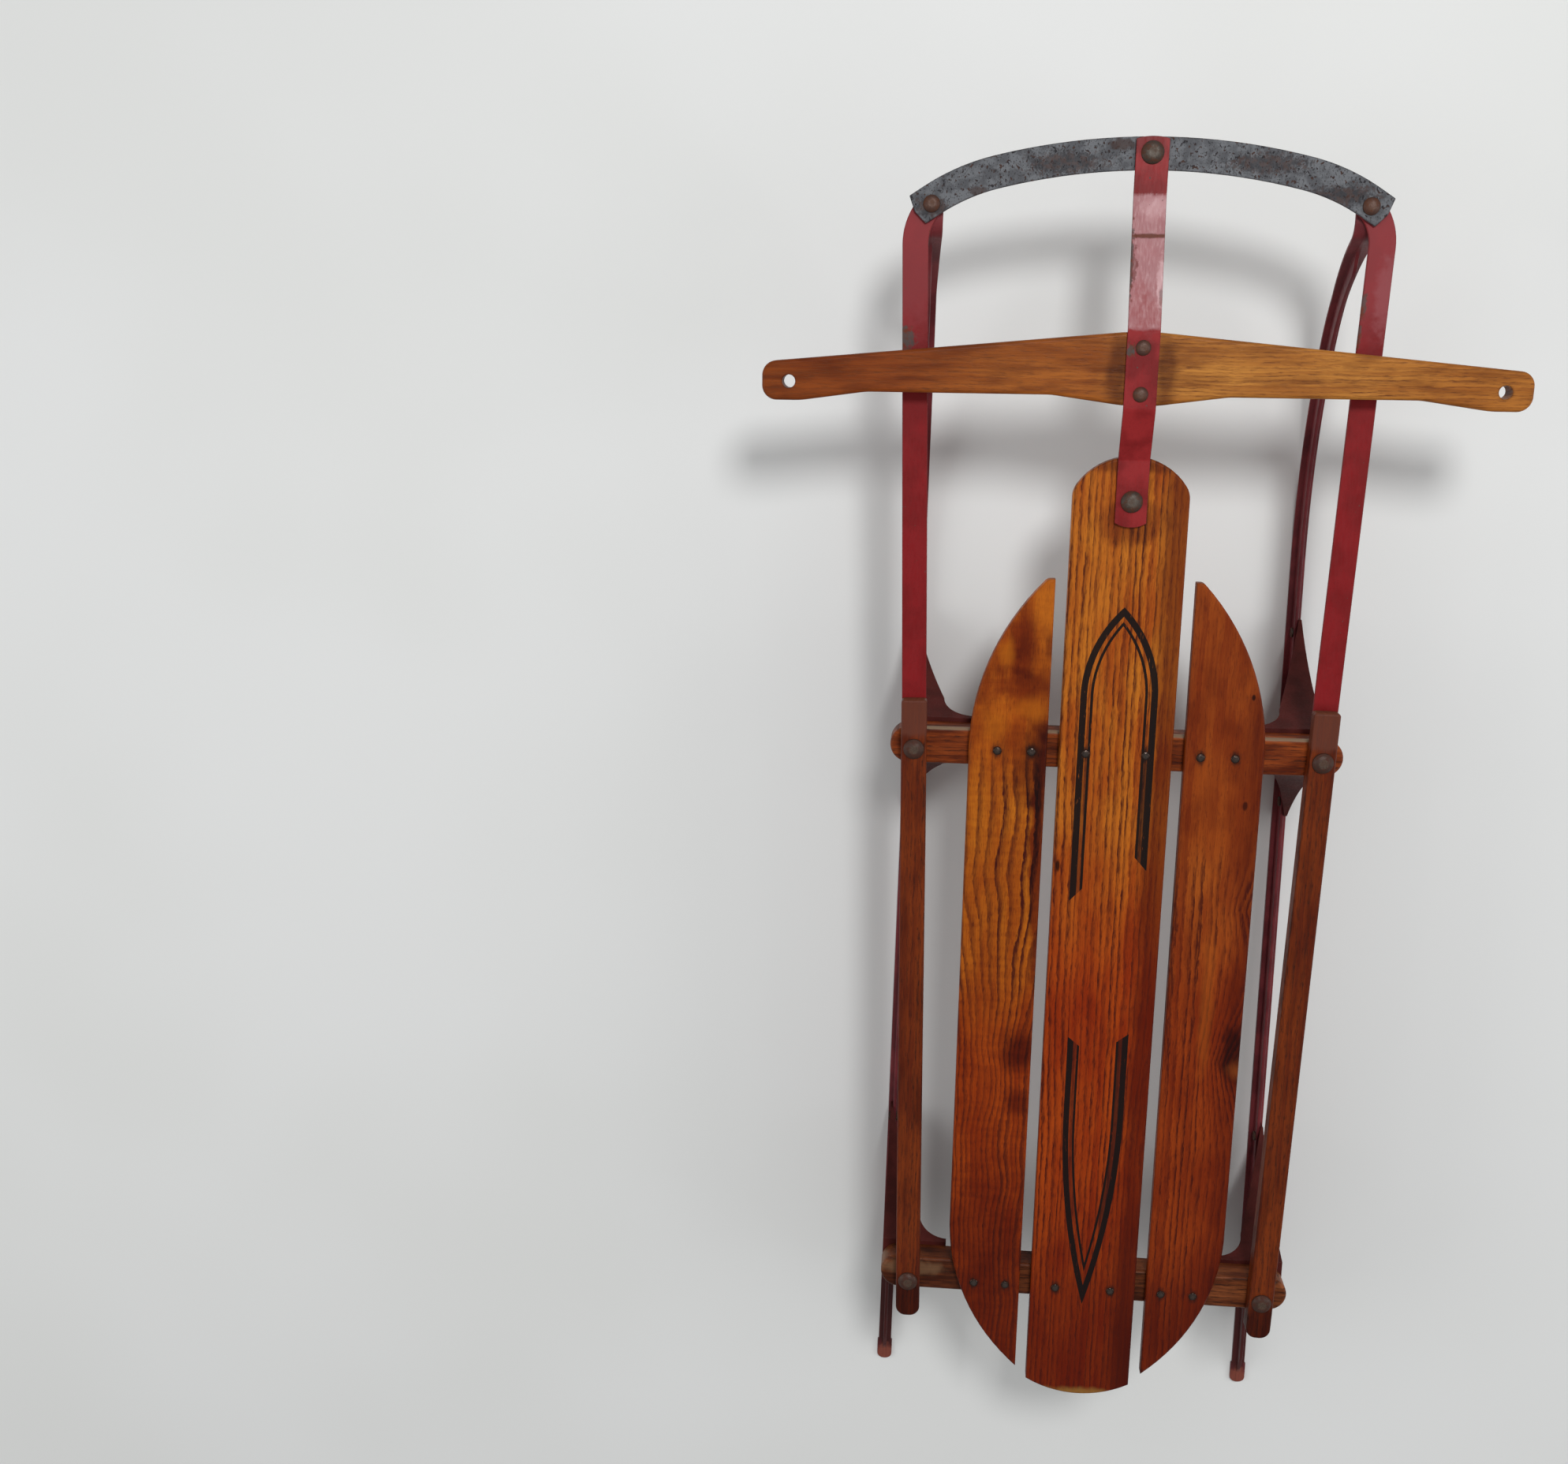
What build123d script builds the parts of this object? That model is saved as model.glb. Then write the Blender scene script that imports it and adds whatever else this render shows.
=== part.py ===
from build123d import *
import os
from math import acos, asin, atan2, cos, degrees, hypot, pi, radians, sin, sqrt, tan

# Overall layout, millimetres: +Y forward, +Z up from the ground
DECK_HEIGHT = 165.0
BUNK_FRONT_Y = 100.0
BUNK_SPACING = 477.0
BUMPER_AHEAD = 466.5
RUNNER_TAIL_OVERHANG = 189.5

# Deck slats
SLAT_T = 10.0
CENTER_SLAT_W = 88.9
SLAT_GAP = 9.7
OUTER_SLAT_W = 62.0
CENTER_FRONT_AHEAD = 234.8
PIVOT_EDGE = 34.0
CENTER_FRONT_R = 50.0
CENTER_CORNER_R = 18.0
CENTER_TAIL_OVERHANG = 102.8
CENTER_TAIL_RISE = 12.0
OUTER_FRONT_AHEAD = 139.0
OUTER_TAIL_OVERHANG = 79.5
OUTER_TIP_W = 5.6
OUTER_FRONT_SWEEP = 149.0
OUTER_TAIL_SWEEP = 131.5
SLAT_EDGE_R = 2.0

# Bunks and side rails
BUNK_W = 30.0
BUNK_H = 22.0
BUNK_FRONT_END = 19.3
BUNK_REAR_END = 23.9
BUNK_EDGE_R = 3.0
RAIL_W = 20.5
RAIL_H = 14.0
RAIL_FRONT_X = 160.2
RAIL_REAR_X = 150.6
RAIL_FRONT_OVERHANG = 40.0
RAIL_REAR_OVERHANG = 34.0
RAIL_EDGE_R = 2.0
RAIL_TAIL_R = 8.6
RAIL_NOSE_R = 2.5
STRAP_RELIEF = 1.5

# Steering bar
BAR_HALF = 284.5
BAR_H = 18.0
BAR_CENTER_HALF = 13.0
BAR_AHEAD = 273.4
BAR_DEPTH = 53.6
BAR_FRONT_SWEEP = 25.1
BAR_WAIST_RISE = 7.1
BAR_WAIST_IN = 66.0
BAR_PAD_L = 29.5
BAR_FLARE_L = 50.0
BAR_CORNER_R = 11.0
BAR_BEND_R = 60.0
BAR_EDGE_R = 3.0
ROPE_HOLE_END = 20.5
ROPE_HOLE_IN = 14.1
ROPE_HOLE_R = 5.0
BAR_BOLT_FRONT_IN = 42.4
BAR_BOLT_REAR_IN = 8.4
BAR_TO_STRAP = 3.0

# Flat steel
STRAP_T = 3.0
SIDE_STRAP_W = 19.5
SIDE_STRAP_SPLAY = 11.3
SIDE_STRAP_BEND_R = 40.0
SIDE_STRAP_END = 9.8
CENTER_STRAP_W = 24.0
CENTER_STRAP_KINK = 40.5
CENTER_STRAP_END = 19.8
CENTER_STRAP_LAND = 32.2
STRAP_BEND_R = 8.0
STRAP_END_RISE = 3.4
BUMPER_BOLT_EDGE = 11.5
RIVET_TOE = 0.2
RIVET_BEHIND = 2.4
BUMPER_W = 23.6
BUMPER_MID_R = 479.2
BUMPER_MID_ANGLE = 13.6
BUMPER_END_R = 153.2
BUMPER_TIP = 12.4
BUMPER_POINT = 2.5

# Runners
RUNNER_TAIL_OUT = 21.4
FLANGE_W = 12.0
FLANGE_T = 3.0
WEB_T = 3.0
WEB_H = 12.0
FOOT_W = 14.0
FOOT_L = 20.0
FOOT_CORNER_R = 5.0
WEB_TAIL_GAP = 14.0
WEB_TAIL_SLOPE = 20.0
WEB_TAIL_H = 4.0
SPLIT_R = 90.0
SPLIT_GAP = 1.5
SPLIT_LAP = 10.0
NOSE_R1 = 360.0
NOSE_A1 = 32.0
NOSE_R2 = 180.0
NOSE_BEND_R = 12.0
TAB_L = 20.0
TAB_W = 18.0
NOSE_FLARE_L = 110.0
NOSE_WEB_END = 26.0

# Pressed knees
KNEE_T = 2.5
KNEE_FOOT_HALF = 88.0
KNEE_TOP_HALF = 19.0
KNEE_TOP_W = 55.5
KNEE_LIP = 4.0
KNEE_WAIST_W = 31.5
KNEE_WAIST_DROP = 29.0
KNEE_FOOT_CLEAR = 1.0
KNEE_ARCH_HALF = 46.0
KNEE_ARCH_H = 34.0
KNEE_RIVET_END = 12.0
KNEE_RIVET_Z = 9.6
KNEE_RIVET_R = 2.4
KNEE_RIVET_HEAD_R = 4.2
KNEE_RIVET_HEAD_H = 1.6

# Fasteners
BOLT_R = 3.2
BOLT_HEAD_R = 8.5
BOLT_HEAD_H = 4.0
SMALL_BOLT_R = 2.6
SMALL_HEAD_R = 5.8
SMALL_HEAD_H = 3.0
NUT_FLATS = 11.0
NUT_H = 5.0
RIVET_R = 3.2
RIVET_HEAD_R = 6.5
RIVET_HEAD_H = 3.2
RIVET_TAIL_R = 5.2
RIVET_TAIL_H = 2.0
NAIL_R = 1.6
NAIL_HEAD_R = 3.4
NAIL_HEAD_H = 0.9
NAIL_LENGTH = 26.0
NAIL_CENTER_X = 23.5
NAIL_INNER_IN = 12.35
NAIL_OUTER_IN = 39.35
THREAD_END = 1.5
RUNNING_CLEAR = 0.08
SLIDE_CLEAR = 0.3
LINK_CLEAR = 1.5

# Heights that follow
SLAT_Z = DECK_HEIGHT - SLAT_T
BUNK_Z = SLAT_Z - BUNK_H
STRAP_Z = SLAT_Z
BUMPER_Z = STRAP_Z + STRAP_T + SLIDE_CLEAR
NOSE_STRAP_Z = BUMPER_Z + STRAP_T + SLIDE_CLEAR
BAR_Z = STRAP_Z + STRAP_T + BAR_TO_STRAP
BAR_TOP_Z = BAR_Z + BAR_H
RAIL_TOP_Z = SLAT_Z + RAIL_H

# Stations along Y that follow
BUNK_REAR_Y = BUNK_FRONT_Y - BUNK_SPACING
PIVOT_Y = BUNK_FRONT_Y + CENTER_FRONT_AHEAD - PIVOT_EDGE
BUMPER_FRONT_Y = BUNK_FRONT_Y + BUMPER_AHEAD
BUMPER_BOLT_Y = BUMPER_FRONT_Y - BUMPER_BOLT_EDGE
TAIL_Y = BUNK_REAR_Y - RUNNER_TAIL_OVERHANG
BAR_REAR_Y = BUNK_FRONT_Y + BAR_AHEAD
BAR_FRONT_Y = BAR_REAR_Y + BAR_DEPTH
BAR_BOLT_YS = (BAR_REAR_Y + BAR_BOLT_FRONT_IN, BAR_REAR_Y + BAR_BOLT_REAR_IN)

# Places across that follow
ROPE_HOLE_X = BAR_HALF - ROPE_HOLE_END
OUTER_SLAT_IN = CENTER_SLAT_W / 2 + SLAT_GAP
BUNK_FRONT_HALF = RAIL_FRONT_X + BUNK_FRONT_END
BUNK_REAR_HALF = RAIL_REAR_X + BUNK_REAR_END
RIVET_X = RAIL_FRONT_X - RIVET_TOE
RUNNER_TAIL_X = RAIL_REAR_X + RUNNER_TAIL_OUT

# Bumper arcs from the middle out to the rivets
BUMPER_A1 = radians(BUMPER_MID_ANGLE)
BUMPER_A2 = asin(sin(BUMPER_A1) + (RIVET_X - BUMPER_MID_R * sin(BUMPER_A1)) / BUMPER_END_R)
BUMPER_DROP = BUMPER_MID_R * (1 - cos(BUMPER_A1)) + BUMPER_END_R * (cos(BUMPER_A1) - cos(BUMPER_A2))
RIVET_Y = BUMPER_FRONT_Y - BUMPER_W / 2 - BUMPER_DROP - RIVET_BEHIND

# Runner side profile from the flat to the tab under the strap
NOSE_TOP = STRAP_Z - FLANGE_T
NOSE_A2 = degrees(acos(
    (NOSE_R1 + (NOSE_R2 - NOSE_R1) * cos(radians(NOSE_A1)) + NOSE_BEND_R - NOSE_TOP)
    / (NOSE_R2 + NOSE_BEND_R)))
NOSE_RUN = (
    (NOSE_R1 - NOSE_R2) * sin(radians(NOSE_A1))
    + (NOSE_R2 + NOSE_BEND_R) * sin(radians(NOSE_A2)) + TAB_L / 2)

# Runner line in plan, straight from the bumper rivet out to the tail
RUNNER_YAW = atan2(RUNNER_TAIL_X - RIVET_X, RIVET_Y - TAIL_Y)

SIDES = (("left", -1), ("right", 1))
HIGH = 2 * DECK_HEIGHT


def traced(start, heading, steps, offset):
    """Edges of a path of lines and arcs, moved to its left by offset."""
    edges = []
    x, y = start
    a = radians(heading)
    for kind, size, turn in steps:
        nx, ny = -sin(a), cos(a)
        here = (x + offset * nx, y + offset * ny)
        if kind == "line":
            x, y = x + size * cos(a), y + size * sin(a)
            edges.append(Line(here, (x + offset * nx, y + offset * ny)))
            continue
        side = 1 if turn > 0 else -1
        cx, cy = x + side * size * nx, y + side * size * ny
        r = size - side * offset
        mid, end = a + radians(turn) / 2, a + radians(turn)
        at_mid = (cx + side * r * sin(mid), cy - side * r * cos(mid))
        at_end = (cx + side * r * sin(end), cy - side * r * cos(end))
        edges.append(ThreePointArc(here, at_mid, at_end))
        x, y = cx + side * size * sin(end), cy - side * size * cos(end)
        a = end
    return edges


def band(start, heading, steps, low, high, point=0.0):
    """Face between two offsets of one path, its ends square or brought to a blunt point."""
    right = traced(start, heading, steps, low)
    left = traced(start, heading, steps, high)
    caps = []
    for at, away in ((0, -1), (1, 1)):
        a, b = (right[-1], left[-1]) if at else (right[0], left[0])
        ends = [a @ at, b @ at]
        if point:
            apex = (ends[0] + ends[1]) / 2 + (b % at) * (away * point)
            ends.insert(1, apex)
        caps += [Line(p, q) for p, q in zip(ends, ends[1:])]
    return make_face(right + left + caps)


def bent(points, radius):
    """Start, heading and steps of a polyline whose corners are rounded."""
    legs = []
    for (x0, y0), (x1, y1) in zip(points, points[1:]):
        legs.append((hypot(x1 - x0, y1 - y0), degrees(atan2(y1 - y0, x1 - x0))))
    turns = [(b[1] - a[1] + 180) % 360 - 180 for a, b in zip(legs, legs[1:])]
    cuts = [0.0] + [radius * tan(radians(abs(t)) / 2) for t in turns] + [0.0]
    steps = []
    for i, (length, _) in enumerate(legs):
        steps.append(("line", length - cuts[i] - cuts[i + 1], 0.0))
        if i < len(turns):
            steps.append(("arc", radius, turns[i]))
    return points[0], legs[0][1], steps


def in_yz(face, x_low, x_high):
    """Extrudes a face drawn as (y, z) between two x values."""
    placed = Plane(origin=(x_low, 0, 0), x_dir=(0, 1, 0), z_dir=(1, 0, 0)) * face
    return extrude(placed, x_high - x_low)


def in_xz(face, y_low, y_high):
    """Extrudes a face drawn as (x, z) between two y values."""
    placed = Plane(origin=(0, y_high, 0), x_dir=(1, 0, 0), z_dir=(0, -1, 0)) * face
    return extrude(placed, y_high - y_low)


def in_xy(face, z_low, z_high):
    """Extrudes a face drawn as (x, y) between two z values."""
    return extrude(Pos(0, 0, z_low) * face, z_high - z_low)


def sided(shape, s):
    """The shape drawn for the right side, mirrored for the left."""
    return shape if s > 0 else mirror(shape, Plane.YZ)


def along(y):
    """Distance from the bumper rivet along the runner's line to a station on Y."""
    return (y - RIVET_Y) / cos(RUNNER_YAW)


def on_runner(shape):
    """Turns a shape drawn about the Y axis, the rivet at its origin, onto the right runner's line."""
    return Pos(RIVET_X, RIVET_Y, 0) * Rot(0, 0, degrees(RUNNER_YAW)) * shape


def rod(x, y, r, z_low=0.0, z_high=HIGH):
    """Upright cylinder, from the ground to above everything unless told."""
    return Pos(x, y, (z_low + z_high) / 2) * Cylinder(r, z_high - z_low)


def dome(x, y, z, r, h):
    """Domed head standing on z, turned from a short profile."""
    profile = make_face(Polyline(
        (0, 0), (r, 0), (r * 0.94, h * 0.34), (r * 0.70, h * 0.76), (r * 0.34, h), (0, h), close=True))
    return Pos(x, y, z) * revolve(Plane.XZ * profile, Axis.Z)


def nut(x, y, z, bore):
    """Hexagon nut hanging from z with its flats across X."""
    blank = extrude(RegularPolygon(NUT_FLATS / sqrt(3), 6, rotation=30), NUT_H)
    return Pos(x, y, z - NUT_H) * blank - rod(x, y, bore, z - NUT_H - 1, z + 1)


def bolt(x, y, z_head, z_nut, r=BOLT_R, head_r=BOLT_HEAD_R, head_h=BOLT_HEAD_H):
    """Domed bolt with its nut, from under the head to below the nut."""
    shank = rod(x, y, r, z_nut - NUT_H - THREAD_END, z_head)
    return dome(x, y, z_head, head_r, head_h) + shank + nut(x, y, z_nut, r)


def soft_top(solid, radius):
    """Rounds the edges of the uppermost face."""
    return fillet(solid.faces().sort_by(Axis.Z)[-1].edges(), radius)


def one(shape):
    """The single solid of a shape."""
    return shape.solids()[0]


def write(name, solids):
    """Saves the solids of one node."""
    shape = solids[0] if len(solids) == 1 else Compound(children=list(solids))
    export_step(shape, f"parts/{name}.step")


def deck_nail_xs():
    """Nail stations across each bunk, with the slat that each one holds."""
    rows = [(s * NAIL_CENTER_X, "center") for _, s in SIDES]
    for name, s in SIDES:
        rows += [(s * (OUTER_SLAT_IN + inset), name) for inset in (NAIL_INNER_IN, NAIL_OUTER_IN)]
    return rows


def nail(x, y):
    """Nail driven flush with the deck, its head in a countersink."""
    head = rod(x, y, NAIL_HEAD_R, DECK_HEIGHT - NAIL_HEAD_H, DECK_HEIGHT)
    return head + rod(x, y, NAIL_R, DECK_HEIGHT - NAIL_LENGTH, DECK_HEIGHT)


def nailed(shape, slats=("left", "center", "right")):
    """Takes out the nails of the named slats."""
    for y in (BUNK_FRONT_Y, BUNK_REAR_Y):
        for x, slat in deck_nail_xs():
            if slat in slats:
                shape -= nail(x, y)
    return shape


def center_slat():
    """Middle slat: rounded nose, arced tail and the pivot bolt's hole."""
    half = CENTER_SLAT_W / 2
    front = BUNK_FRONT_Y + CENTER_FRONT_AHEAD
    tail = BUNK_REAR_Y - CENTER_TAIL_OVERHANG
    shoulder = front - CENTER_FRONT_R + sqrt(CENTER_FRONT_R ** 2 - half ** 2)
    heel = tail + CENTER_TAIL_RISE
    plan = make_face([
        ThreePointArc((-half, shoulder), (0, front), (half, shoulder)),
        ThreePointArc((-half, heel), (0, tail), (half, heel)),
        Line((-half, shoulder), (-half, heel)),
        Line((half, shoulder), (half, heel)),
    ])
    plan = fillet(plan.vertices().sort_by(Axis.Y)[-2:], CENTER_CORNER_R)
    slat = soft_top(in_xy(plan, SLAT_Z, DECK_HEIGHT), SLAT_EDGE_R)
    return nailed(slat - rod(0, PIVOT_Y, BOLT_R), ("center",))


def outer_slat(name, s):
    """Side slat: straight inner edge, outer edge swept in at both ends."""
    w = OUTER_SLAT_W
    front = BUNK_FRONT_Y + OUTER_FRONT_AHEAD
    tail = BUNK_REAR_Y - OUTER_TAIL_OVERHANG
    x_in, x_out = OUTER_SLAT_IN, OUTER_SLAT_IN + w
    tip = (x_in + OUTER_TIP_W, front)
    shoulder = (x_out, front - OUTER_FRONT_SWEEP)
    heel = (x_out, tail + OUTER_TAIL_SWEEP)
    toe = (x_in, tail)
    plan = make_face([
        Line((x_in, front), tip),
        ThreePointArc(tip, (x_out - 0.253 * w, front - 0.41 * OUTER_FRONT_SWEEP), shoulder),
        Line(shoulder, heel),
        ThreePointArc(heel, (x_out - 0.325 * w, tail + 0.407 * OUTER_TAIL_SWEEP), toe),
        Line(toe, (x_in, front)),
    ])
    corner = plan.vertices().sort_by_distance((tip[0], tip[1], 0))[0]
    plan = fillet(corner, OUTER_TIP_W)
    return nailed(soft_top(in_xy(sided(plan, s), SLAT_Z, DECK_HEIGHT), SLAT_EDGE_R), (name,))


def bunk(half, y, bolt_x):
    """Cross beam with half-round ends."""
    beam = soft_top(in_xy(Pos(0, y) * SlotOverall(2 * half, BUNK_W), BUNK_Z, SLAT_Z), BUNK_EDGE_R)
    for _, s in SIDES:
        beam -= rod(s * bolt_x, y, BOLT_R)
    return nailed(beam)


def side_rail(s):
    """Rail over both bunks, relieved underneath where the side strap turns."""
    front = BUNK_FRONT_Y + RAIL_FRONT_OVERHANG
    tail = BUNK_REAR_Y - RAIL_REAR_OVERHANG
    slope = (RAIL_FRONT_X - RAIL_REAR_X) / BUNK_SPACING
    x_tail = RAIL_REAR_X - slope * RAIL_REAR_OVERHANG
    x_front = RAIL_FRONT_X + slope * RAIL_FRONT_OVERHANG
    heading = degrees(atan2(front - tail, x_front - x_tail))
    length = hypot(front - tail, x_front - x_tail)
    plan = band((x_tail, tail), heading, [("line", length, 0.0)], -RAIL_W / 2, RAIL_W / 2)
    plan = fillet(plan.vertices().sort_by(Axis.Y)[:2], RAIL_TAIL_R)
    plan = fillet(plan.vertices().sort_by(Axis.Y)[-2:], RAIL_NOSE_R)
    rail = soft_top(in_xy(plan, SLAT_Z, RAIL_TOP_Z), RAIL_EDGE_R)
    relief = Pos(RAIL_FRONT_X, BUNK_FRONT_Y) * Circle(SIDE_STRAP_W / 2 + STRAP_RELIEF)
    relief += Pos(RAIL_FRONT_X, BUNK_FRONT_Y + RAIL_FRONT_OVERHANG) * Rectangle(
        4 * RAIL_W, 2 * RAIL_FRONT_OVERHANG)
    rail -= in_xy(relief, SLAT_Z - 1, STRAP_Z + STRAP_T + SLIDE_CLEAR)
    rail -= rod(RAIL_FRONT_X, BUNK_FRONT_Y, BOLT_R) + rod(RAIL_REAR_X, BUNK_REAR_Y, BOLT_R)
    return sided(rail, s)


def steering_bar():
    """Cross bar: broad middle, waisted arms and a rope hole in each grip."""
    rear, front = BAR_REAR_Y, BAR_FRONT_Y
    waist = rear + BAR_WAIST_RISE
    pad_in = BAR_HALF - BAR_PAD_L
    half = [
        (BAR_CENTER_HALF, front),
        (BAR_HALF, front - BAR_FRONT_SWEEP),
        (BAR_HALF, rear),
        (pad_in, rear),
        (pad_in - BAR_FLARE_L, waist),
        (BAR_WAIST_IN, waist),
        (BAR_CENTER_HALF, rear),
    ]
    points = half + [(-x, y) for x, y in reversed(half)]
    plan = make_face(Polyline(*points, close=True))
    grips = plan.vertices().group_by(lambda v: round(abs(v.X), 3))[-1]
    plan = fillet(grips, BAR_CORNER_R)
    rest = [v for v in plan.vertices() if abs(v.X) < pad_in + 0.01]
    plan = fillet(rest, BAR_BEND_R)
    bar = soft_top(in_xy(plan, BAR_Z, BAR_TOP_Z), BAR_EDGE_R)
    for y in BAR_BOLT_YS:
        bar -= rod(0, y, SMALL_BOLT_R)
    for _, s in SIDES:
        bar -= rod(s * ROPE_HOLE_X, BAR_REAR_Y + ROPE_HOLE_IN, ROPE_HOLE_R)
    return bar


def center_strap():
    """Flat strap from the bumper, up over the bar and down to the deck pivot."""
    half = CENTER_STRAP_W / 2
    land = DECK_HEIGHT + SLIDE_CLEAR
    tail = PIVOT_Y - CENTER_STRAP_END
    line = [
        (BUMPER_FRONT_Y, NOSE_STRAP_Z),
        (BUMPER_FRONT_Y - CENTER_STRAP_KINK, NOSE_STRAP_Z),
        (BAR_FRONT_Y + STRAP_T, BAR_TOP_Z),
        (BAR_REAR_Y - STRAP_T, BAR_TOP_Z),
        (PIVOT_Y + CENTER_STRAP_LAND, land),
        (tail, land),
    ]
    strap = in_yz(band(*bent(line, STRAP_BEND_R), -STRAP_T, 0.0), -half, half)
    front = BUMPER_FRONT_Y - STRAP_END_RISE / 2
    plan = make_face([
        Line((-half, front), (-half, tail + STRAP_END_RISE)),
        ThreePointArc((-half, tail + STRAP_END_RISE), (0, tail), (half, tail + STRAP_END_RISE)),
        Line((half, tail + STRAP_END_RISE), (half, front)),
        ThreePointArc((half, front), (0, BUMPER_FRONT_Y), (-half, front)),
    ])
    strap &= in_xy(plan, 0, HIGH)
    strap -= rod(0, BUMPER_BOLT_Y, BOLT_R) + rod(0, PIVOT_Y, BOLT_R + RUNNING_CLEAR)
    for y in BAR_BOLT_YS:
        strap -= rod(0, y, SMALL_BOLT_R)
    return strap


def bumper():
    """Arc of flat steel whose ends curve in more and are cut to blunt points."""
    arm = [
        ("line", BUMPER_TIP, 0.0),
        ("arc", BUMPER_END_R, degrees(BUMPER_A2 - BUMPER_A1)),
        ("arc", BUMPER_MID_R, BUMPER_MID_ANGLE),
    ]
    drop = BUMPER_DROP + BUMPER_TIP * sin(BUMPER_A2)
    start = (RIVET_X + BUMPER_TIP * cos(BUMPER_A2), BUMPER_FRONT_Y - BUMPER_W / 2 - drop)
    heading = 180 - degrees(BUMPER_A2)
    plan = band(start, heading, arm + arm[::-1], -BUMPER_W / 2, BUMPER_W / 2, BUMPER_POINT)
    plate = in_xy(plan, BUMPER_Z, BUMPER_Z + STRAP_T)
    plate -= rod(0, BUMPER_BOLT_Y, BOLT_R + RUNNING_CLEAR)
    for _, s in SIDES:
        plate -= rod(s * RIVET_X, RIVET_Y, RIVET_R + LINK_CLEAR)
    return plate


def side_strap(s):
    """Flat strap from the front bunk bolt, splayed, then turned in through the rivet under the bumper."""
    r = SIDE_STRAP_BEND_R
    in_x = r - SIDE_STRAP_SPLAY
    in_y = sqrt(r ** 2 - in_x ** 2)
    dx, dy = RIVET_X - in_x - RAIL_FRONT_X, RIVET_Y - in_y - BUNK_FRONT_Y
    reach = hypot(dx, dy)
    heading = atan2(dy, dx) - asin(r / reach)
    turn = atan2(in_y, in_x) + pi / 2 - heading + SIDE_STRAP_END / r
    steps = [("line", sqrt(reach ** 2 - r ** 2), 0.0), ("arc", r, degrees(turn))]
    half = SIDE_STRAP_W / 2
    plan = band((RAIL_FRONT_X, BUNK_FRONT_Y), degrees(heading), steps, -half, half)
    plan += Pos(RAIL_FRONT_X, BUNK_FRONT_Y) * Circle(half)
    strap = in_xy(plan, STRAP_Z, STRAP_Z + STRAP_T)
    strap -= rod(RAIL_FRONT_X, BUNK_FRONT_Y, BOLT_R + RUNNING_CLEAR) + rod(RIVET_X, RIVET_Y, RIVET_R)
    return sided(strap, s)


def about_front_bolt(r):
    """Upright cylinder about the right front bunk bolt."""
    return rod(RAIL_FRONT_X, BUNK_FRONT_Y, r, -10, HIGH)


def runner(s):
    """T-section bar from the tail to the split ahead of the front knee."""
    split_y = BUNK_FRONT_Y + SPLIT_R
    tail, front = along(TAIL_Y), along(split_y)
    flange = Pos(0, (front + tail + FOOT_L) / 2, FLANGE_T / 2) * Box(FLANGE_W, front - tail - FOOT_L, FLANGE_T)
    plan = Pos(0, tail + FOOT_L / 2) * Rectangle(FOOT_W, FOOT_L)
    plan = fillet(plan.vertices().sort_by(Axis.Y)[:2], FOOT_CORNER_R)
    foot = in_xy(plan, 0, FLANGE_T)
    heel = tail + WEB_TAIL_GAP
    web = make_face(Polyline(
        (heel, FLANGE_T), (heel, FLANGE_T + WEB_TAIL_H), (heel + WEB_TAIL_SLOPE, FLANGE_T + WEB_H),
        (front, FLANGE_T + WEB_H), (front, FLANGE_T), close=True))
    bar = on_runner(flange + foot + in_yz(web, -WEB_T / 2, WEB_T / 2))
    ahead = Pos(RIVET_X, split_y, 0) * Box(4 * FOOT_W, 2 * SPLIT_R, HIGH)
    bar -= ahead - about_front_bolt(SPLIT_R - SPLIT_GAP / 2)
    return sided(bar - knee_rivet_bores(), s)


def runner_nose(s):
    """Front of the runner: flat, swept up in two arcs and turned level under the strap."""
    start = along(BUNK_FRONT_Y + SPLIT_R - SPLIT_LAP)
    run = -start
    curve = [
        ("line", run - NOSE_RUN, 0.0),
        ("arc", NOSE_R1, NOSE_A1),
        ("arc", NOSE_R2, NOSE_A2 - NOSE_A1),
    ]
    tab = [("arc", NOSE_BEND_R, -NOSE_A2), ("line", TAB_L, 0.0)]
    flange = in_yz(band((0, 0), 0, curve + tab, 0, FLANGE_T), -TAB_W / 2, TAB_W / 2)
    end, flare = run + TAB_L / 2, run - NOSE_FLARE_L
    half = [(FLANGE_W / 2, 0), (FLANGE_W / 2, flare), (TAB_W / 2, run - TAB_L), (TAB_W / 2, end)]
    plan = make_face(Polyline(*(half + [(-x, y) for x, y in reversed(half)]), close=True))
    plan = fillet(plan.vertices().sort_by(Axis.Y)[-2:], TAB_W / 3)
    flange &= in_xy(plan, 0, HIGH)
    web = in_yz(band((0, 0), 0, curve, FLANGE_T, FLANGE_T + WEB_H), -WEB_T / 2, WEB_T / 2)
    web -= Pos(0, run, NOSE_TOP) * Box(2 * TAB_W, 2 * NOSE_WEB_END, 2 * NOSE_WEB_END)
    nose = on_runner(Pos(0, start, 0) * (flange + web))
    nose -= about_front_bolt(SPLIT_R + SPLIT_GAP / 2)
    return sided(nose - rod(RIVET_X, RIVET_Y, RIVET_R), s)


def knee_rivet_bores():
    """Bores through the right runner's web and the feet of its knees."""
    drill = Rot(0, 90, 0) * Cylinder(KNEE_RIVET_R, 4 * FOOT_W)
    return [on_runner(Pos(0, y, KNEE_RIVET_Z) * drill) for y in knee_rivet_stations()]


def knee_rivet_stations():
    """Places along the runner's line of the rivets that hold the knees to it."""
    reach = KNEE_FOOT_HALF - KNEE_RIVET_END
    return [along(y) + e * reach for y in (BUNK_FRONT_Y, BUNK_REAR_Y) for e in (-1, 1)]


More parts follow.
